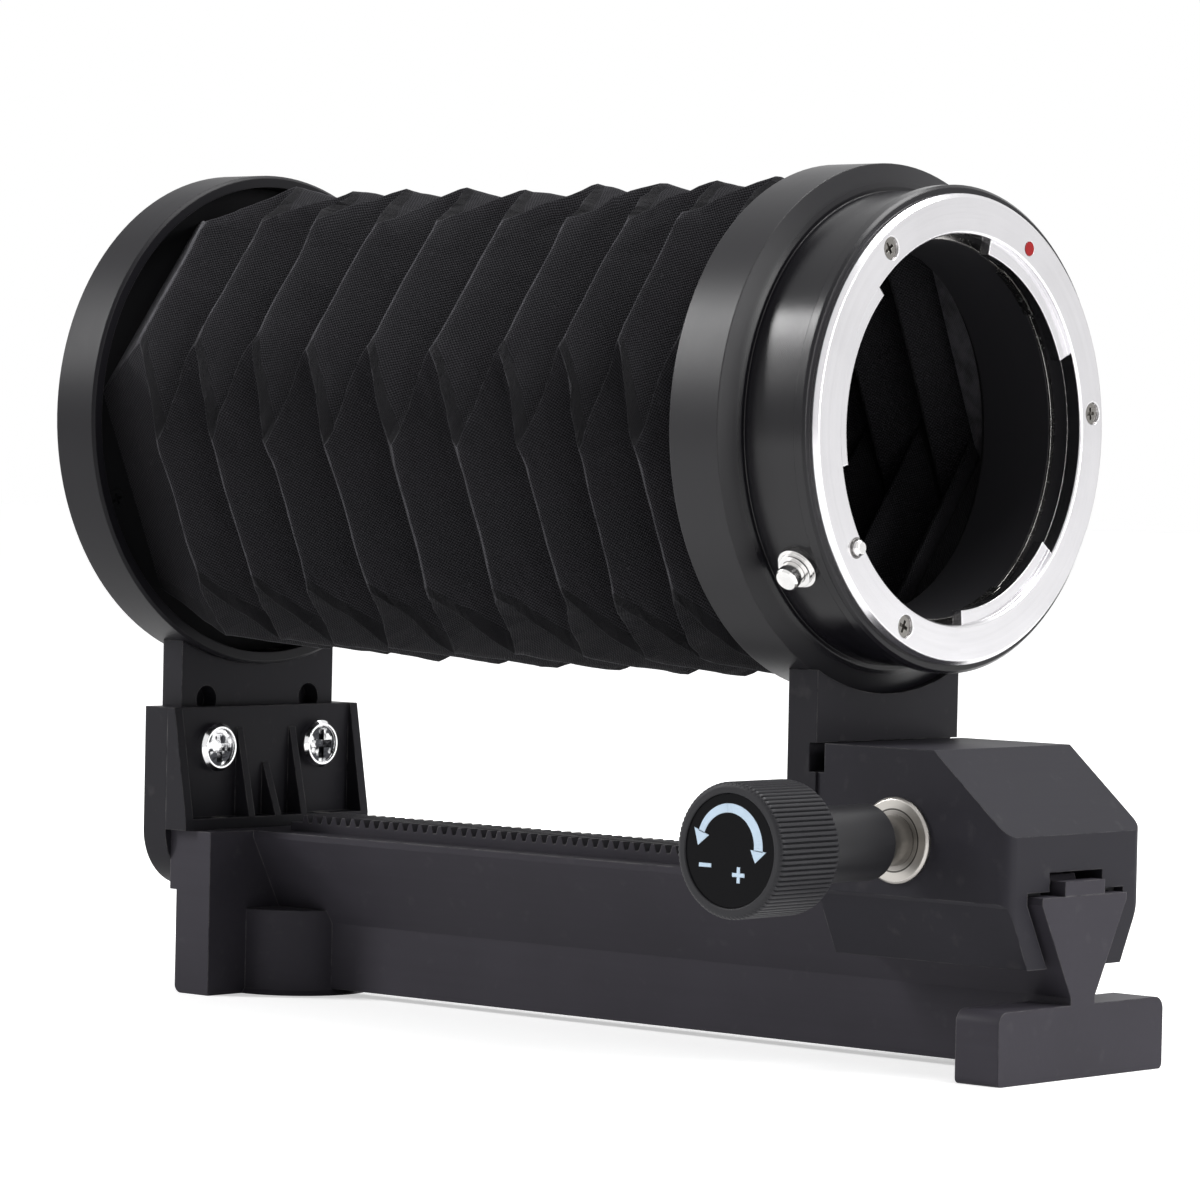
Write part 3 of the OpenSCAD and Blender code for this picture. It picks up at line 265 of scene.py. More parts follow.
def lathe_place(tree, place, axis, centre):
    """Place as (along the axis, distance from it, a little of the angle), and the distance."""
    split = tree.nodes.new("ShaderNodeSeparateXYZ")
    tree.links.new(place, split.inputs[0])
    x, y, z = (Field(tree, s) for s in split.outputs)
    along, across = (x, y - centre[0]) if axis == "X" else (y, x - centre[0])
    up = z - centre[1]
    distance = length_of(across, up)
    angle = across.math("ARCTAN2", up)
    joined = tree.nodes.new("ShaderNodeCombineXYZ")
    for value, slot in zip((along, distance, angle * LITTLE_TURN), joined.inputs):
        connect(tree, value, slot)
    return joined.outputs[0], distance


def turned_finish(name, colour, roughness, axis, centre, metallic=0.0, specular=0.5,
                  line_depth=0.004, wear=0.5, wear_colour=(0.20, 0.19, 0.19), matt_within=None,
                  blotch=0.0, groove=None):
    """What lies nearer the axis than matt_within is matt; groove gives the two radii of a ring of painted
    shade, and what lies nearer the axis than it is painted darker too.
    """
    finish, tree, shader, place = new_finish(name, colour, roughness, metallic, specular)
    around, reach = lathe_place(tree, place, axis, centre)
    lines = noise(tree, around, 9000, 2)
    bands = noise(tree, around, 1500, 3)
    cloudy = noise(tree, place, 130, 3)
    rounded = rounded_normal(tree, 0.25 * MM)
    rubbed = rubbed_edge(tree, rounded, noise(tree, place, 300, 3) * 1.6 - 0.3)
    body = shade_between(tree, bands * 0.7 + cloudy * 0.5 - 0.1, darker(colour, 0.86), colour)
    body = laid_over(tree, rubbed * wear, body, wear_colour)
    # Painted shade: a dark ring between the groove's radii, and darker paint within it
    if groove:
        line = beyond(reach, groove[0]) * within(reach, groove[1])
        body = laid_over(tree, line * 0.9 + within(reach, groove[0]) * 0.45, body, GROOVE_SHADE)
    tree.links.new(body, shader.inputs["Base Color"])
    gloss = lines * (line_depth * 25) + cloudy * 0.08 + (roughness - 0.09)
    if matt_within:
        outside = beyond(reach, matt_within + 4 * MM, hardness=1500)
        gloss = gloss + within(reach, matt_within) * 0.6 + outside * 0.14
    connect(tree, gloss, shader.inputs["Roughness"])
    blotches = noise(tree, place, 1100, 3)
    normal = bumped(tree, lines + blotches * blotch, line_depth * MM, rounded, 0.7)
    tree.links.new(normal, shader.inputs["Normal"])
    return finish


def middle(name):
    """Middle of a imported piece's box."""
    low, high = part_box(name)
    return [(a + b) / 2 for a, b in zip(low, high)]


def paint_bore_shade(finish, spot, radius):
    """Paints shade into a round gap in a face that looks along X, as the bore round a pin is."""
    tree = finish.node_tree
    shader = tree.nodes["Principled BSDF"]
    place = tree.nodes.new("ShaderNodeTexCoord").outputs["Object"]
    split = add_node(tree, "ShaderNodeSeparateXYZ", {0: place})
    aside, above = Field(tree, split.outputs[1]) - spot[0], Field(tree, split.outputs[2]) - spot[1]
    near = within(length_of(aside, above), radius, hardness=15000)
    before = shader.inputs["Base Color"].links[0].from_socket
    # Painted shade round the pin, laid over the finish's colour
    tree.links.new(laid_over(tree, near * 0.85, before, BORE_SHADE), shader.inputs["Base Color"])


OPTICAL = (0.0, middle("bayonet_ring")[2])
SHAFT = (middle("near_bushing")[0], middle("near_bushing")[2])
PIN = (middle("lock_pin")[1], middle("lock_pin")[2])
RING = {"line_depth": 0.003, "wear": 0.3, "matt_within": 30 * MM, "blotch": 2.5}
ring_black = turned_finish("ring_black", (0.0064, 0.0060, 0.0080), 0.24, "X", OPTICAL, specular=0.26,
                           **RING)
camera_ring_black = turned_finish("camera_ring_black", (0.0072, 0.0068, 0.0088), 0.30, "X", OPTICAL,
                                  specular=0.13, **RING)
mount_silver = turned_finish("mount_silver", (0.76, 0.75, 0.77), 0.24, "X", OPTICAL, metallic=1.0,
                             line_depth=0.001, wear=0.3, wear_colour=(0.86, 0.86, 0.87))
paint_bore_shade(mount_silver, PIN, 1.5 * MM)
camera_silver = turned_finish("camera_silver", (0.60, 0.59, 0.60), 0.28, "X", OPTICAL, metallic=1.0,
                              line_depth=0.001, wear=0.3, wear_colour=(0.75, 0.75, 0.76))
frame_matt = turned_finish("frame_matt", (0.008, 0.008, 0.009), 0.75, "X", OPTICAL, specular=0.1,
                           wear=0.0)
# The nickel's groove is a ring of painted shade
shaft_nickel = turned_finish("shaft_nickel", (0.42, 0.40, 0.375), 0.3, "Y", SHAFT, metallic=1.0,
                             line_depth=0.005, wear=0.9, wear_colour=(0.8, 0.78, 0.75),
                             groove=(4.1 * MM, 4.4 * MM))
collar_black = turned_finish("collar_black", (0.011, 0.0108, 0.0125), 0.4, "Y", SHAFT, specular=0.3,
                             wear=0.3)
insert_brass = turned_finish("insert_brass", (0.62, 0.44, 0.18), 0.28, "Y", SHAFT, metallic=1.0,
                             wear=0.2, wear_colour=(0.8, 0.62, 0.3))
print("turned finishes:", 8)

# %% [markdown]
# Small parts: bright chrome for the screws and the release button, oxidised
# steel for the hidden screws, black nylon for the slide liners, a matt
# moulded black for the knobs, and two kinds of paint.

# %% Small finishes


def plain_metal(name, colour, roughness, scratch=0.12):
    finish, tree, shader, place = new_finish(name, colour, roughness, 1.0)
    fine = noise(tree, place, 5200, 3)
    smear = noise(tree, place, 800, 4)
    tree.links.new(shade_between(tree, smear, darker(colour, 0.8), colour), shader.inputs["Base Color"])
    connect(tree, fine * scratch + smear * scratch + (roughness - scratch), shader.inputs["Roughness"])
    normal = bumped(tree, fine, 0.003 * MM, rounded_normal(tree, 0.12 * MM), 0.5)
    tree.links.new(normal, shader.inputs["Normal"])
    return finish


def moulded(name, colour, roughness, grain, specular):
    finish, tree, shader, place = new_finish(name, colour, roughness, specular=specular)
    grains = noise(tree, place, 3800, 3)
    cloudy = noise(tree, place, 200, 3)
    tree.links.new(shade_between(tree, cloudy, darker(colour, 0.8), colour), shader.inputs["Base Color"])
    connect(tree, grains * 0.12 + (roughness - 0.06), shader.inputs["Roughness"])
    normal = bumped(tree, grains, grain * MM, rounded_normal(tree, 0.15 * MM), 0.7)
    tree.links.new(normal, shader.inputs["Normal"])
    return finish


def dished_chrome(name, across, up, rim):
    """Chrome on two screws at +-across: a bright rim round a dish painted with dark reflections and
    bright specks.
    """
    finish, tree, shader, place = new_finish(name, (0.8, 0.8, 0.81), 0.14, 1.0)
    split = add_node(tree, "ShaderNodeSeparateXYZ", {0: place})
    aside = Field(tree, split.outputs[1]).math("ABSOLUTE") - across
    above = Field(tree, split.outputs[2]) - up
    in_dish = within(length_of(aside, above), rim, hardness=8000)
    # Painted reflections: the dish is painted dark, with bright painted specks
    painted_glints = ((noise(tree, place, 520, 3) - 0.5) * 9 + 0.1).clamped()
    body = shade_between(tree, 1 - in_dish * (1 - painted_glints), (0.035, 0.036, 0.04), (0.82, 0.82, 0.83))
    tree.links.new(body, shader.inputs["Base Color"])
    ripples = noise(tree, place, 800, 2)
    normal = bumped(tree, ripples * in_dish, 0.12 * MM, rounded_normal(tree, 0.15 * MM), 0.8)
    tree.links.new(normal, shader.inputs["Normal"])
    return finish


RIM_WIDTH = 0.8 * MM
screw_low, screw_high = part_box("standard_screws")
head_r = (screw_high[2] - screw_low[2]) / 2
screw_chrome = dished_chrome("screw_chrome", screw_high[1] - head_r, middle("standard_screws")[2],
                             head_r - RIM_WIDTH)
button_chrome = plain_metal("button_chrome", (0.84, 0.83, 0.82), 0.16, scratch=0.08)
screw_steel = plain_metal("screw_steel", (0.30, 0.29, 0.28), 0.34)
spring_steel = plain_metal("spring_steel", (0.55, 0.54, 0.52), 0.25)
mount_screw_steel = plain_metal("mount_screw_steel", (0.25, 0.24, 0.225), 0.2)
knob_black = moulded("knob_black", (0.017, 0.0168, 0.0195), 0.44, 0.010, 0.2)
disc_black = moulded("disc_black", (0.0022, 0.0022, 0.003), 0.3, 0.002, 0.06)
liner_nylon = moulded("liner_nylon", (0.018, 0.018, 0.02), 0.5, 0.006, 0.2)
dot_red = moulded("dot_red", (0.30, 0.006, 0.008), 0.35, 0.004, 0.2)
arrow_paint = moulded("arrow_paint", (0.58, 0.72, 0.86), 0.5, 0.003, 0.2)
print("small finishes:", 10)

# %% [markdown]
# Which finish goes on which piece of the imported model. Pieces that this script
# replaces keep a finish too, because they stay in the file, hidden.

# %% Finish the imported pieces
FINISH_OF = {
    "rail": rail_black, "back_plate": plate_black, "rear_bracket": plate_black,
    "rear_standard": plate_black, "front_standard": plate_black, "carriage_block": block_black,
    "rack": rail_black, "rear_ring": camera_ring_black, "front_ring": ring_black,
    "bayonet_ring": mount_silver, "camera_bayonet": camera_silver, "near_bushing": shaft_nickel,
    "far_bushing": shaft_nickel, "pinion_shaft": shaft_nickel, "spacer_sleeve": shaft_nickel,
    "thrust_collar": collar_black, "knob_insert": insert_brass, "tripod_insert": insert_brass,
    "lock_knob": knob_black, "drive_knob": knob_black, "knob_cap": disc_black,
    "slide_liners": liner_nylon, "index_dot": dot_red, "bellows": disc_black,
    "standard_screws": screw_chrome, "standard_nuts": screw_chrome, "mount_screws": mount_screw_steel,
    "lock_pin": button_chrome, "release_button": button_chrome, "button_sleeve": button_chrome,
    "bellows_rear_frame": frame_matt, "bellows_front_frame": frame_matt,
    "rear_frame_screws": frame_matt, "front_frame_screws": frame_matt,
    "bayonet_spring": spring_steel, "pin_spring": spring_steel,
}
for name, piece in nodes.items():
    finish = FINISH_OF.get(name, screw_steel)
    if piece.material_slots:
        for place in piece.material_slots:
            place.material = finish
    else:
        piece.data.materials.append(finish)
print("plain steel:", sorted(set(nodes) - set(FINISH_OF)))

# %% [markdown]
# ## Geometry Nodes
# A tree needs named inputs, a holder object for its modifier, and at the end a
# plain mesh, because the finished model can't keep instances or modifiers.

# %% Helpers for Geometry Nodes


def new_tree(name, inputs):
    """A tree with named inputs and its group nodes: (tree, inputs by name, end node)."""
    tree = bpy.data.node_groups.new(name, "GeometryNodeTree")
    for label, kind, value in inputs:
        socket = tree.interface.new_socket(label, in_out="INPUT", socket_type="NodeSocket" + kind)
        if value is not None:
            socket.default_value = value
    tree.interface.new_socket("Geometry", in_out="OUTPUT", socket_type="NodeSocketGeometry")
    start = tree.nodes.new("NodeGroupInput")
    fields = {label: start.outputs[label] if kind in ("Geometry", "Object", "Material")
              else Field(tree, start.outputs[label]) for label, kind, value in inputs}
    return tree, fields, tree.nodes.new("NodeGroupOutput")


def finish_tree(tree, geometry, material, end):
    real = add_node(tree, "GeometryNodeRealizeInstances", {0: geometry})
    painted = add_node(tree, "GeometryNodeSetMaterial", {0: real.outputs[0], "Material": material})
    tree.links.new(painted.outputs[0], end.inputs[0])


def new_piece(name, data):
    piece = bpy.data.objects.new(name, data)
    bpy.context.collection.objects.link(piece)
    return piece


def evaluated_mesh(piece):
    """The mesh that a piece's modifiers make."""
    bpy.context.view_layer.update()
    layers = bpy.context.evaluated_depsgraph_get()
    return bpy.data.meshes.new_from_object(
        piece.evaluated_get(layers), preserve_all_data_layers=True, depsgraph=layers)


def grown(name, tree, values):
    """Runs a tree on a holder object and leaves the result as its plain mesh."""
    holder = new_piece(name, bpy.data.meshes.new(name))
    modifier = holder.modifiers.new("rule", "NODES")
    modifier.node_group = tree
    for item in tree.interface.items_tree:
        if item.in_out == "INPUT" and item.name in values:
            modifier[item.identifier] = values[item.name]
    mesh = evaluated_mesh(holder)
    holder.modifiers.remove(modifier)
    holder.data = mesh
    mesh.name = name
    return holder


def store(tree, geometry, name, kind, domain, value):
    node = add_node(tree, "GeometryNodeStoreNamedAttribute",
                    {"Geometry": geometry, "Name": name}, data_type=kind, domain=domain)
    connect(tree, value, node.inputs["Value"])
    return node.outputs[0]


def vector(tree, x, y, z):
    node = tree.nodes.new("ShaderNodeCombineXYZ")
    for value, slot in zip((x, y, z), node.inputs):
        connect(tree, value, slot)
    return node.outputs[0]


print("geometry helpers ready")

# %% [markdown]
# ## The bellows
# The cloth is folded over card into six strips of flat panels. Where three of
# the strips stand out, the three between them stand in, and half a pleat later
# they change over. That rule gives every point: a grid is bent so that one side
# counts half pleats along the axis and the other counts strips round it.
# Each strip is a plane, so its edge lies where it meets the next strip's plane:
# (other - own * cos 60) / sin 60 to each side of its middle.

# %% The folding rule
STRIPS = 6
STRIP_ANGLE = 2 * math.pi / STRIPS
PEAK = 0.985  # below 1, so that the zigzag's ridges are a little rounded
END_BULGE = 0.9 * MM  # how far the cloth stands out between the last fold and the frame
END_STEP = 1 * MM  # and how far past the last ridge it does so
tree, given, end = new_tree("bellows_folds", [
    ("Half pleats", "Int", 18), ("Steps per panel", "Int", 10), ("Steps per strip", "Int", 14),
    ("Rear end", "Float", 0.0), ("First ridge", "Float", 0.0), ("Last ridge", "Float", 0.0),
    ("Front end", "Float", 0.0), ("Out", "Float", 0.036), ("In", "Float", 0.028),
    ("End", "Float", 0.0275), ("Turn", "Float", 0.0), ("Drift", "Float", 0.0),
    ("Height", "Float", 0.0875), ("Sag", "Float", 0.0), ("Crumple", "Float", 0.0),
    ("Material", "Material", None)])
rows = (given["Half pleats"] + 2) * given["Steps per panel"] + 1
columns = given["Steps per strip"] * STRIPS + 1
sheet = add_node(tree, "GeometryNodeMeshGrid", {"Size X": 1.0, "Size Y": 1.0,
                                                "Vertices X": rows, "Vertices Y": columns})
split = add_node(tree, "ShaderNodeSeparateXYZ",
                 {0: tree.nodes.new("GeometryNodeInputPosition").outputs[0]})
pleat = (Field(tree, split.outputs[0]) + 0.5) * (given["Half pleats"] + 2) - 1
folded = pleat.math("MAXIMUM", 0.0).math("MINIMUM", given["Half pleats"])
swing = ((folded - 0.5) * math.pi).math("SINE") * PEAK
wave = swing.math("ARCSINE") / (2 * math.asin(PEAK)) + 0.5
before = (pleat * -1).clamped()
after = ((pleat - given["Half pleats"]) * 2).clamped()
sleeve = ((pleat - given["Half pleats"]) * 2 - 1).clamped()


def strip_distance(share):
    """How far a strip is from the axis, from its share of the way out."""
    distance = given["In"] + (given["Out"] - given["In"]) * share
    distance = distance + (given["End"] - distance) * before
    distance = distance + (given["End"] + END_BULGE - distance) * after
    return distance + (given["End"] - distance) * sleeve


even, odd = strip_distance(wave), strip_distance(1 - wave)
print("fold fields ready")

# %% [markdown]
# The folds of a used bellows don't hang evenly: about three quarters along they
# have slid forward a little, and the cloth sags by a millimetre. A bell curve
# moves them, and noise crumples the cloth, but not where the frames clamp it.

# %% Bend the grid into the folds
SLID_AT, SLID_SPREAD = 0.74, 0.2  # shares of the bellows' length
CRUMPLE_SCALE, CRUMPLE_REACH = 95.0, 6 * MM
share = folded / given["Half pleats"]
bell = (((share - SLID_AT) / SLID_SPREAD) ** 2 * -1).math("EXPONENT") * (share * math.pi).math("SINE")
step = given["Last ridge"] - given["First ridge"]
along = (given["Rear end"] + (given["First ridge"] - given["Rear end"]) * (pleat + 1).clamped()
         + share * step + bell * given["Drift"] + after * END_STEP
         + (given["Front end"] - given["Last ridge"] - END_STEP) * sleeve)
around = (Field(tree, split.outputs[1]) + 0.5) * STRIPS + 0.00001
strip = around.math("FLOOR")
part = around - strip
is_odd = strip.math("MODULO", 2.0)
own = even + (odd - even) * is_odd
other = odd + (even - odd) * is_odd
half_width = (other - own * math.cos(STRIP_ANGLE)) / math.sin(STRIP_ANGLE)
sideways = (part * 2 - 1) * half_width
angle = strip * STRIP_ANGLE + math.pi / 2 + given["Turn"]
turn_cos, turn_sin = angle.math("COSINE"), angle.math("SINE")
hung = given["Height"] - given["Sag"] * (share * math.pi).math("SINE")
flat_place = vector(tree, along, own * turn_cos - sideways * turn_sin,
                    own * turn_sin + sideways * turn_cos + hung)
free = (1 - before) * (1 - after)
crumple = add_node(tree, "ShaderNodeTexNoise",
                   {"Vector": flat_place, "Scale": CRUMPLE_SCALE, "Detail": 3.0})
pushed = add_node(tree, "ShaderNodeVectorMath", {0: crumple.outputs["Color"], 1: (0.5, 0.5, 0.5)},
                  operation="SUBTRACT")
scaled = add_node(tree, "ShaderNodeVectorMath", {0: pushed.outputs[0]}, operation="SCALE")
to_edge = (1 - (part * 2 - 1).math("ABSOLUTE")) * half_width
near_edge = (1 - to_edge / CRUMPLE_REACH).clamped()
connect(tree, free * given["Crumple"] * (near_edge * 1.6 + 0.6), scaled.inputs["Scale"])
bent = add_node(tree, "ShaderNodeVectorMath", {0: flat_place, 1: scaled.outputs[0]})
print("bend fields ready")

# %% [markdown]
# The weave, and the wear and painted highlights on the ridges, need to know where
# they are on the cloth, so the tree also stores the cloth's own coordinates in
# millimetres, how far each point is from a ridge, and how far from the edge of its strip.

# %% Store what the cloth's finish reads
PANEL_LENGTH, STRIP_APART = 9.9, 50  # in mm of cloth
weave_u = pleat * PANEL_LENGTH
weave_v = sideways / MM + strip * STRIP_APART
geometry = store(tree, sheet.outputs[0], "UVMap", "FLOAT2", "CORNER", vector(tree, weave_u, weave_v, 0.0))
geometry = store(tree, geometry, "odd_strip", "FLOAT", "FACE", is_odd)
geometry = store(tree, geometry, "fold", "FLOAT", "POINT", folded.math("PINGPONG", 1.0))
geometry = store(tree, geometry, "edge", "FLOAT", "POINT", to_edge / MM)
placed = add_node(tree, "GeometryNodeSetPosition", {0: geometry, "Position": bent.outputs[0]})
closed = add_node(tree, "GeometryNodeMergeByDistance", {0: placed.outputs[0], "Distance": 1e-5})
finish_tree(tree, closed.outputs[0], given["Material"], end)
print("bellows tree:", len(tree.nodes), "nodes")

# %% [markdown]
# Bellows cloth is a thin plain weave, rubber-proofed and almost black. Two sine
# waves make the threads, the ridges and the edges of the strips are painted lighter
# in patches, partly as wear and partly as painted highlight, and a little sheen
# lifts the cloth where it is seen edge-on.

# %% The cloth's finish
bellows_cloth, tree, shader, place = new_finish("bellows_cloth", (0.008, 0.0078, 0.0095), 0.82,
                                                specular=0.06)
shader.inputs["Sheen Weight"].default_value = 0.035
shader.inputs["Sheen Roughness"].default_value = 0.45
uv = add_node(tree, "ShaderNodeUVMap", uv_map="UVMap")
split = add_node(tree, "ShaderNodeSeparateXYZ", {0: uv.outputs[0]})
THREAD = 0.52  # spacing of the threads in mm
thread = 2 * math.pi / THREAD
warp = (Field(tree, split.outputs[0]) * thread).math("SINE")
weft = (Field(tree, split.outputs[1]) * thread).math("SINE")
weave = warp * weft * 0.5 + 0.5


def from_cloth(name):
    node = add_node(tree, "ShaderNodeAttribute", attribute_name=name)
    return Field(tree, node.outputs["Fac"])


out_share = from_cloth("fold") * (1 - from_cloth("odd_strip") * 2) + from_cloth("odd_strip")
on_ridge = ((out_share - 0.968) * 40).clamped()
on_edge = (1 - from_cloth("edge") * 4).clamped()
patchy = (noise(tree, place, 420, 4) * 2.2 - 0.35).clamped()
# Painted highlight and wear: the ridges and strip edges are painted lighter, in patches
rubbed = (on_ridge + on_edge * 0.6) * patchy
fluff = noise(tree, place, 2400, 2)
lint = ((noise(tree, place, 900, 2) - 0.68) * 12).clamped()
worn_and_highlit = rubbed * 0.8 + weave * 0.34 + noise(tree, place, 45, 3) * 0.07 + lint * 0.12
CLOTH_DARK, CLOTH_WORN_AND_HIGHLIT = (0.0028, 0.0027, 0.0036), (0.098, 0.096, 0.106)
tree.links.new(shade_between(tree, worn_and_highlit.clamped(), CLOTH_DARK, CLOTH_WORN_AND_HIGHLIT), shader.inputs["Base Color"])
normal = bumped(tree, weave * 0.8 + fluff * 0.2, 0.16 * MM, rounded_normal(tree, 0.3 * MM), 0.9)
tree.links.new(normal, shader.inputs["Normal"])
print("cloth finish:", bellows_cloth.name)

# %% Fold the cloth
low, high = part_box("bellows")
HALF_PLEATS = 18
rear_rim, front_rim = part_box("rear_ring")[1][0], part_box("front_ring")[0][0]
cloth_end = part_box("bellows_front_frame")[0][0]


def bore_of(name):
    """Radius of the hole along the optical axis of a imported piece."""
    return min(math.hypot(v.co.y, v.co.z - OPTICAL[1]) for v in nodes[name].data.vertices)


OVERLAP = 0.6 * MM  # how far the cloth's ends lie behind the frames' inner edges
clamped_at = max(bore_of("bellows_rear_frame"), bore_of("bellows_front_frame")) + OVERLAP
print("cloth clamped at", round(clamped_at / MM, 2), "mm from the axis")
bellows = grown("bellows_cloth", bpy.data.node_groups["bellows_folds"], {
    "Half pleats": HALF_PLEATS, "Rear end": low[0], "First ridge": rear_rim + 6.0 * MM,
    "Last ridge": front_rim - 1.1 * MM, "Front end": cloth_end, "Out": 34.3 * MM, "In": 27.2 * MM,
    "End": clamped_at, "Turn": math.radians(-6.5), "Height": OPTICAL[1], "Drift": 3.8 * MM,
    "Sag": 0.9 * MM, "Crumple": 1.45 * MM, "Material": bellows_cloth})
print("cloth:", len(bellows.data.polygons), "faces")

# %% [markdown]
# Both ends of the cloth stay inside the cups of the rings, and only the part
# between the rims gets shorter. So the sheet is cut in three: a sleeve that stays
# with each ring, and the folds between. Faces must point outwards before the
# cloth gets its thickness.

# %% Cut the sheet at the rims
CLOTH_THICK = 0.45 * MM
FAR_AWAY = 1.0  # a metre, past either end of the cloth


def turn_outwards(mesh, centre):
    """Turns all faces round if most of them look at the centre line along X."""
    score = sum((f.center.y - centre[0]) * f.normal.y + (f.center.z - centre[1]) * f.normal.z
                for f in mesh.polygons)
    if score < 0:
        mesh.flip_normals()
    return score


def cut_cloth(name, start, stop):
    """The cloth between two planes across X, with its thickness."""
    shell = bmesh.new()
    shell.from_mesh(bellows.data)
    for x, side in ((start, -1), (stop, 1)):
        parts = shell.verts[:] + shell.edges[:] + shell.faces[:]
        bmesh.ops.bisect_plane(shell, geom=parts, plane_co=(x, 0, 0), plane_no=(side, 0, 0),
                               clear_outer=True)
    mesh = bpy.data.meshes.new(name)
    shell.to_mesh(mesh)
    shell.free()
    mesh.materials.append(bellows_cloth)
    piece = new_piece(name, mesh)
    thick = piece.modifiers.new("cloth", "SOLIDIFY")
    thick.thickness = CLOTH_THICK
    walled = evaluated_mesh(piece)
    piece.modifiers.clear()
    piece.data = walled
    for face in walled.polygons:
        face.use_smooth = False
    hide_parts("bellows")
    return piece


print("score:", round(turn_outwards(bellows.data, OPTICAL), 3))
rear_cut, front_cut = rear_rim + 0.2 * MM, front_rim - 0.3 * MM
rear_sleeve = cut_cloth("bellows_rear_sleeve", -FAR_AWAY, rear_cut)
folds = cut_cloth("bellows_folds", rear_cut, front_cut)
front_sleeve = cut_cloth("bellows_front_sleeve", front_cut, FAR_AWAY)
bpy.data.objects.remove(bellows)
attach(rear_sleeve, "base")
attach(folds, "base")
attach(front_sleeve, "carriage")
print("pieces of cloth:", [len(p.data.polygons) for p in (rear_sleeve, folds, front_sleeve)], "faces")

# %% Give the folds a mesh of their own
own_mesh(folds)

# %% [markdown]
# The small coil behind the lock pin is pressed together by the release button.
# Its imported shape is right, so a copy of its mesh stands for it.

# %% The lock pin's spring
coil_mesh = nodes["pin_spring"].data.copy()
coil = new_piece("lock_pin_coil", coil_mesh)
shell = bmesh.new()
shell.from_mesh(coil_mesh)
bmesh.ops.remove_doubles(shell, verts=shell.verts, dist=1e-6)
shell.to_mesh(coil_mesh)
shell.free()
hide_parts("pin_spring")
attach(coil, "carriage")
low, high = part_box("pin_spring")
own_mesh(coil)
print("coil:", len(coil_mesh.polygons), "faces,", round((high[0] - low[0]) / MM, 1), "mm long")

# %% [markdown]
# ## Turned and ribbed pieces
# Both knobs are bodies of revolution with grooves round the grip. One tree
# makes both: a grid's rows follow a profile, its columns go round, and a narrow
# power of a cosine cuts the grooves where the profile says so. The profile is a
# row of points: radius, share of the groove, height.

# %% The lathe tree
GROOVE_POWER = 5  # a higher power makes a narrower groove
tree, given, end = new_tree("lathe", [
    ("Profile", "Object", None), ("Points", "Int", 2), ("Segments", "Int", 96),
    ("Ribs", "Float", 0.0), ("Rib depth", "Float", 0.0), ("Material", "Material", None)])
sheet = add_node(tree, "GeometryNodeMeshGrid", {
    "Size X": 1.0, "Size Y": 1.0, "Vertices X": given["Points"], "Vertices Y": given["Segments"] + 1})
number = Field(tree, tree.nodes.new("GeometryNodeInputIndex").outputs[0])
row = (number / (given["Segments"] + 1) + 0.00001).math("FLOOR")
turn = (number - row * (given["Segments"] + 1)) / given["Segments"] * (2 * math.pi)
profile = add_node(tree, "GeometryNodeObjectInfo", {"Object": given["Profile"]})
sample = add_node(tree, "GeometryNodeSampleIndex", {
    "Geometry": profile.outputs["Geometry"],
    "Value": tree.nodes.new("GeometryNodeInputPosition").outputs[0]}, data_type="FLOAT_VECTOR")
connect(tree, row, sample.inputs["Index"])
split = add_node(tree, "ShaderNodeSeparateXYZ", {0: sample.outputs[0]})
groove = ((turn * given["Ribs"]).math("COSINE") * 0.5 + 0.5) ** GROOVE_POWER
radius = Field(tree, split.outputs[0]) - groove * given["Rib depth"] * Field(tree, split.outputs[1])
spot = vector(tree, radius * turn.math("COSINE"), radius * turn.math("SINE"), split.outputs[2])
placed = add_node(tree, "GeometryNodeSetPosition", {0: sheet.outputs[0], "Position": spot})
closed = add_node(tree, "GeometryNodeMergeByDistance", {0: placed.outputs[0], "Distance": 1e-7})
finish_tree(tree, closed.outputs[0], given["Material"], end)
print("lathe tree:", len(tree.nodes), "nodes")

# %% Turn a profile into a piece
POINTS_PER_RIB = 8


def lathe(name, profile, placing, ribs, rib_depth):
    """profile is [(radius, groove share, height)] in mm; placing puts z along the real axis."""
    points = bpy.data.meshes.new(name + "_profile")
    points.from_pydata([(r * MM, share, h * MM) for r, share, h in profile], [], [])
    guide = new_piece(name + "_profile", points)
    piece = grown(name, bpy.data.node_groups["lathe"], {
        "Profile": guide, "Points": len(profile), "Segments": ribs * POINTS_PER_RIB,
        "Ribs": float(ribs), "Rib depth": rib_depth * MM, "Material": knob_black})
    bpy.data.objects.remove(guide)
    shell = bmesh.new()
    shell.from_mesh(piece.data)
    bmesh.ops.recalc_face_normals(shell, faces=shell.faces)
    shell.to_mesh(piece.data)
    shell.free()
    piece.data.transform(placing)
    piece.data.update()
    return piece


def along_shaft(y):
    """Local z along +Y, standing on the pinion shaft's axis at that y, in mm."""
    return (Matrix.Translation((SHAFT[0], y * MM, SHAFT[1]))
            @ Matrix.Rotation(math.radians(-90), 4, "X"))


print("lathe ready")

# %% [markdown]
# The lock knob's front rim stands a quarter of a millimetre proud of its disc.
# The grooves fade out on the bevels, as they do where a cutter leaves the work.

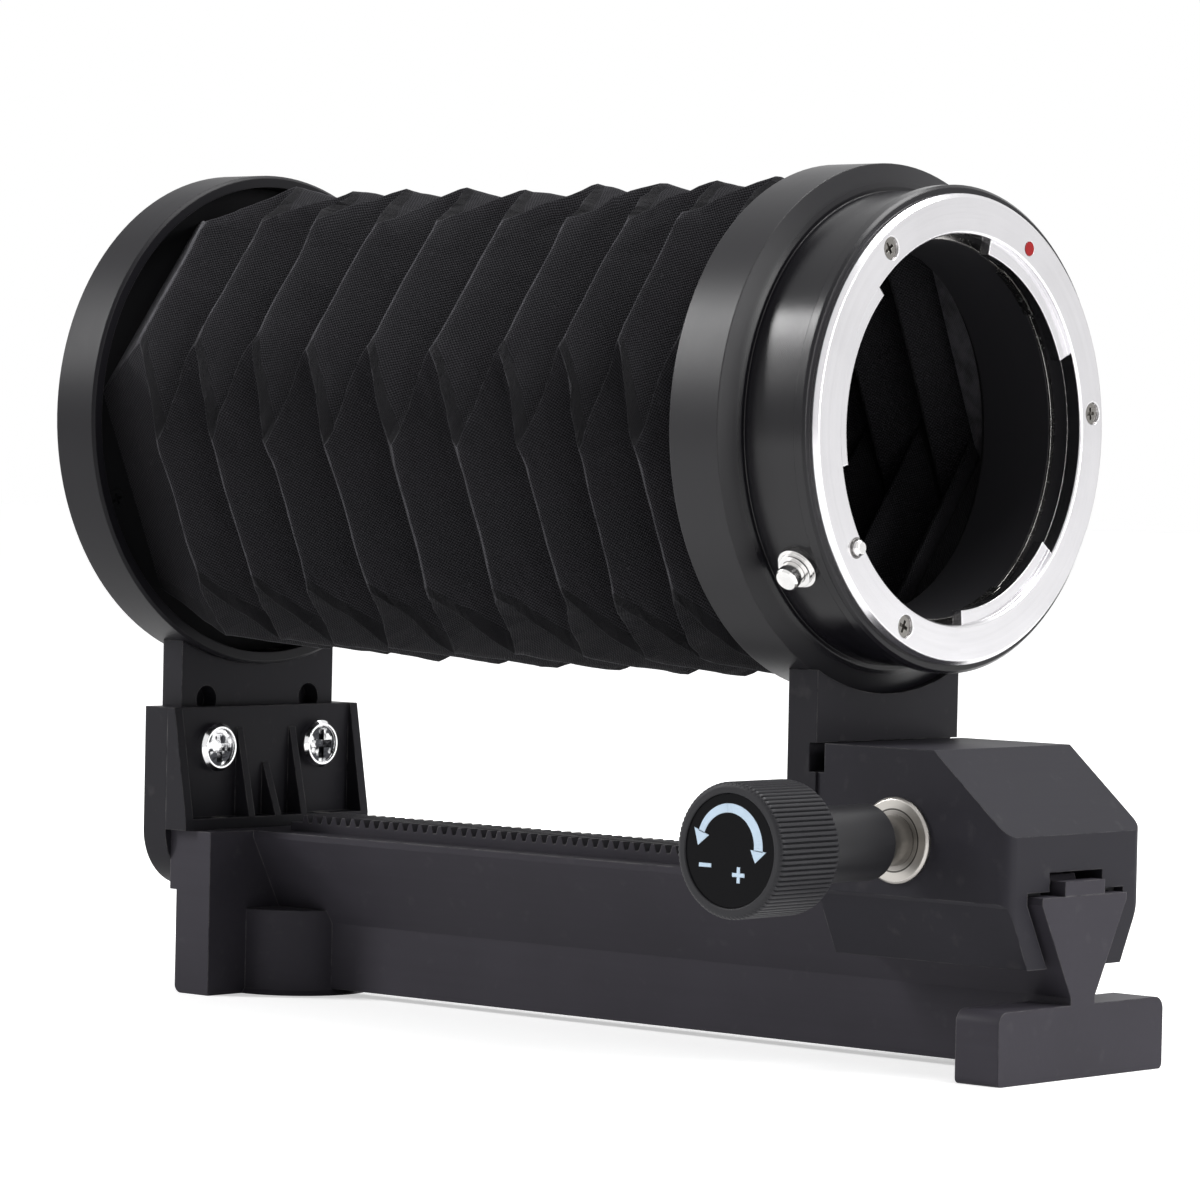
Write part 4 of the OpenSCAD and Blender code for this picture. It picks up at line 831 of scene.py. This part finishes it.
# %% The lock knob
low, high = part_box("lock_knob")
knob_end, knob_length = low[1] / MM, (high[1] - low[1]) / MM
R = (high[0] - low[0]) / 2 / MM
LOCK_RIBS, LOCK_BORE, DISC_SEAT = 78, 4.25, 1.3
lock_profile = [
    (LOCK_BORE, 0, DISC_SEAT), (7.45, 0, DISC_SEAT), (7.55, 0, 1.25), (7.55, 0, 0.12), (7.68, 0, 0.0),
    (8.35, 0, 0.0), (8.62, 0.1, 0.06), (8.86, 0.4, 0.22), (8.98, 0.8, 0.42), (R, 1, 0.65),
    (R, 1, 3.0), (R, 1, 6.0), (R, 1, 9.0), (R, 1, knob_length - 0.75),
    (8.98, 0.8, knob_length - 0.42), (8.8, 0.4, knob_length - 0.18), (8.5, 0, knob_length),
    (LOCK_BORE, 0, knob_length), (LOCK_BORE, 0, DISC_SEAT)]
lock_grip = lathe("lock_knob_grip", lock_profile, along_shaft(knob_end), LOCK_RIBS, rib_depth=0.36)
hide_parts("lock_knob")
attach(lock_grip, "lock")
print("lock knob:", len(lock_grip.data.polygons), "faces")

# %% The drive knob
low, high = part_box("drive_knob")
drive_start, drive_length = low[1] / MM, (high[1] - low[1]) / MM
D = (high[0] - low[0]) / 2 / MM
DRIVE_RIBS, DRIVE_BORE, DRIVE_DISH = 40, 2.55, 1.9
drive_profile = [
    (DRIVE_BORE, 0, 0.0), (D - 0.6, 0, 0.0), (D - 0.2, 0.4, 0.15), (D, 1, 0.55), (D, 1, 3.0), (D, 1, 6.0),
    (D, 1, drive_length - 0.55), (D - 0.2, 0.4, drive_length - 0.15), (D - 0.6, 0, drive_length),
    (D - 2.0, 0, drive_length), (D - 2.2, 0, drive_length - 0.2),
    (D - 2.2, 0, drive_length - DRIVE_DISH), (DRIVE_BORE, 0, drive_length - DRIVE_DISH),
    (DRIVE_BORE, 0, 0.0)]
drive_grip = lathe("drive_knob_grip", drive_profile, along_shaft(drive_start), DRIVE_RIBS, rib_depth=0.42)
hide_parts("drive_knob")
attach(drive_grip, "drive")
print("drive knob:", len(drive_grip.data.polygons), "faces")

# %% [markdown]
# The disc in the lock knob carries a painted arc with an arrow head at each
# end, a minus at the loose end and a plus at the tight end. Paint is thin, so
# each mark is a flat outline a few hundredths of a millimetre above the disc.

# %% The marks on the disc
disc_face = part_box("knob_cap")[0][1]
PAINT_THICK = 0.03 * MM
# The arc: where it starts and stops in degrees, its radius, and half the width of its heads
START, STOP, MIDDLE, HEAD = -5, 161, 5.0, 1.35
ARC_MIDDLE, ARC_STEPS = (-0.2, 0.6), 32
# The signs: their middles, half the length of a bar and half its height
LOOSE, TIGHT, ARM, THIN = (-4.2, -2.1), (1.5, -3.1), 1.05, 0.27


def painted(name, outlines):
    """Flat outlines [(u, v)] in mm on the disc; u to the camera's right, v up."""
    shape = bmesh.new()
    for outline in outlines:
        corners = [shape.verts.new((SHAFT[0] + u * MM, disc_face - PAINT_THICK, SHAFT[1] + v * MM))
                   for u, v in outline]
        shape.faces.new(corners)
    solid = bmesh.ops.extrude_face_region(shape, geom=shape.faces[:])
    moved = [e for e in solid["geom"] if isinstance(e, bmesh.types.BMVert)]
    bmesh.ops.translate(shape, verts=moved, vec=(0, PAINT_THICK, 0))
    bmesh.ops.recalc_face_normals(shape, faces=shape.faces)
    mesh = bpy.data.meshes.new(name)
    shape.to_mesh(mesh)
    shape.free()
    mesh.materials.append(arrow_paint)
    piece = new_piece(name, mesh)
    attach(piece, "lock")
    return piece


def round_point(radius, degrees):
    """A point of the arc, whose middle lies a little off the disc's."""
    return (radius * math.cos(math.radians(degrees)) + ARC_MIDDLE[0],
            radius * math.sin(math.radians(degrees)) + ARC_MIDDLE[1])


def stroke(degrees):
    """Half the arc's width, which swells towards its right end."""
    return 0.5 + 0.25 * (STOP - degrees) / (STOP - START)


steps = [START + (STOP - START) * i / ARC_STEPS for i in range(ARC_STEPS + 1)]
arc = []
for a, b in zip(steps, steps[1:]):
    arc.append([round_point(MIDDLE + stroke(a), a), round_point(MIDDLE + stroke(b), b),
                round_point(MIDDLE - stroke(b), b), round_point(MIDDLE - stroke(a), a)])
heads = [[round_point(MIDDLE + HEAD, START + 1), round_point(MIDDLE - HEAD, START + 1),
          round_point(MIDDLE - 0.1, START - 19)],
         [round_point(MIDDLE - HEAD, STOP - 1), round_point(MIDDLE + HEAD, STOP - 1),
          round_point(MIDDLE + 0.3, STOP + 21)]]
arrow = painted("turn_arrow", arc + heads)


def bar(u, v, half_long, half_high):
    return [(u - half_long, v - half_high), (u + half_long, v - half_high),
            (u + half_long, v + half_high), (u - half_long, v + half_high)]


signs = painted("turn_signs", [
    bar(*LOOSE, ARM, THIN), bar(*TIGHT, ARM, THIN),
    bar(TIGHT[0], TIGHT[1] + (ARM + THIN) / 2, THIN, (ARM - THIN) / 2),
    bar(TIGHT[0], TIGHT[1] - (ARM + THIN) / 2, THIN, (ARM - THIN) / 2)])
print("marks:", len(arrow.data.polygons), "and", len(signs.data.polygons), "faces")

# %% [markdown]
# ## Stage
# A plain white sweep. A camera ray gets a little extra white from the floor, so
# that it meets the white background with no line, and the shadow still shows.

# %% Floor and world


def seen_plainly(tree):
    """1 for the rays that see the backdrop itself: camera, mirror and glass rays."""
    path = tree.nodes.new("ShaderNodeLightPath")
    camera_ray, glossy_ray, transmission_ray = (
        Field(tree, path.outputs[name])
        for name in ("Is Camera Ray", "Is Glossy Ray", "Is Transmission Ray"))
    return (camera_ray + glossy_ray + transmission_ray).clamped()


AMBIENT = 0.26
FLOOR_HALF = 6
FLOOR_MIDDLE = 0.07  # about the object's middle along X
FADE_FROM, FADE_OVER = 0.2, 0.6  # in metres from that middle
GLOW_NEAR, GLOW_FAR = 0.49, 0.25  # near the object, and added far from it
world = bpy.data.worlds.new("studio")
bpy.context.scene.world = world
world.use_nodes = True
tree = world.node_tree
sky = tree.nodes["Background"]
sky.inputs["Color"].default_value = (1, 1, 1, 1)
connect(tree, seen_plainly(tree) * (1 - AMBIENT) + AMBIENT, sky.inputs["Strength"])

floor_mesh = bpy.data.meshes.new("floor")
corners = [(x * FLOOR_HALF, y * FLOOR_HALF, 0) for x, y in ((-1, -1), (1, -1), (1, 1), (-1, 1))]
floor_mesh.from_pydata(corners, [], [(0, 1, 2, 3)])
floor = new_piece("floor", floor_mesh)
floor_white, tree, shader, place = new_finish("floor_white", (0.86, 0.86, 0.86), 0.8, specular=0.1)
shader.inputs["Emission Color"].default_value = (1, 1, 1, 1)
split = add_node(tree, "ShaderNodeSeparateXYZ", {0: place})
x, y = Field(tree, split.outputs[0]) - FLOOR_MIDDLE, Field(tree, split.outputs[1])
far = ((length_of(x, y) - FADE_FROM) / FADE_OVER).clamped()
connect(tree, seen_plainly(tree) * (far * GLOW_FAR + GLOW_NEAR), shader.inputs["Emission Strength"])
floor_mesh.materials.append(floor_white)
print("stage ready")

# %% Lamps
TARGET = (0.06, 0, 0.06)  # about the middle of the object


def softbox(name, where, size, power):
    data = bpy.data.lights.new(name, "AREA")
    data.shape = "RECTANGLE"
    data.size, data.size_y = size
    data.energy = power
    lamp = new_piece(name, data)
    lamp.location = where
    lamp.rotation_euler = (Vector(TARGET) - Vector(where)).to_track_quat("-Z", "Y").to_euler()


softbox("top_box", (0.25, 0.25, 0.95), (0.7, 0.5), 10.5)
softbox("left_box", (-0.62, -0.55, 0.55), (0.16, 0.5), 7.5)
softbox("front_box", (0.95, 0.15, 0.30), (0.4, 0.5), 4.2)
print("lamps: 3")

# %% [markdown]
# ## Camera
# The photograph was taken nearly level, from the lens side, with the frame
# turned a little. The numbers come from fitting the mount ring's ellipse and the
# rail's edges, so the camera is built from its three angles and its place.

# %% The camera
AZIMUTH, ELEVATION, ROLL = 41.361, 1.442, 1.2
CAMERA_PLACE = (0.568854, -0.576768, 0.081232)
SENSOR_WIDTH, FOCAL_LENGTH = 36.0, 157.75
azimuth, elevation, roll = (math.radians(a) for a in (AZIMUTH, ELEVATION, ROLL))
back = Vector((math.sin(azimuth) * math.cos(elevation), -math.cos(azimuth) * math.cos(elevation),
               math.sin(elevation)))
right = Vector((math.cos(azimuth), math.sin(azimuth), 0))
up = back.cross(right)
turned_right = math.cos(roll) * right + math.sin(roll) * up
turned_up = -math.sin(roll) * right + math.cos(roll) * up
axes = Matrix((turned_right, turned_up, back)).transposed().to_4x4()
lens = bpy.data.cameras.new("camera")
lens.sensor_width = SENSOR_WIDTH
lens.lens = FOCAL_LENGTH
camera = new_piece("camera", lens)
camera.matrix_world = Matrix.Translation(CAMERA_PLACE) @ axes
bpy.context.scene.camera = camera
bpy.context.scene.view_settings.view_transform = "Standard"
print("camera", [round(c, 3) for c in camera.location])
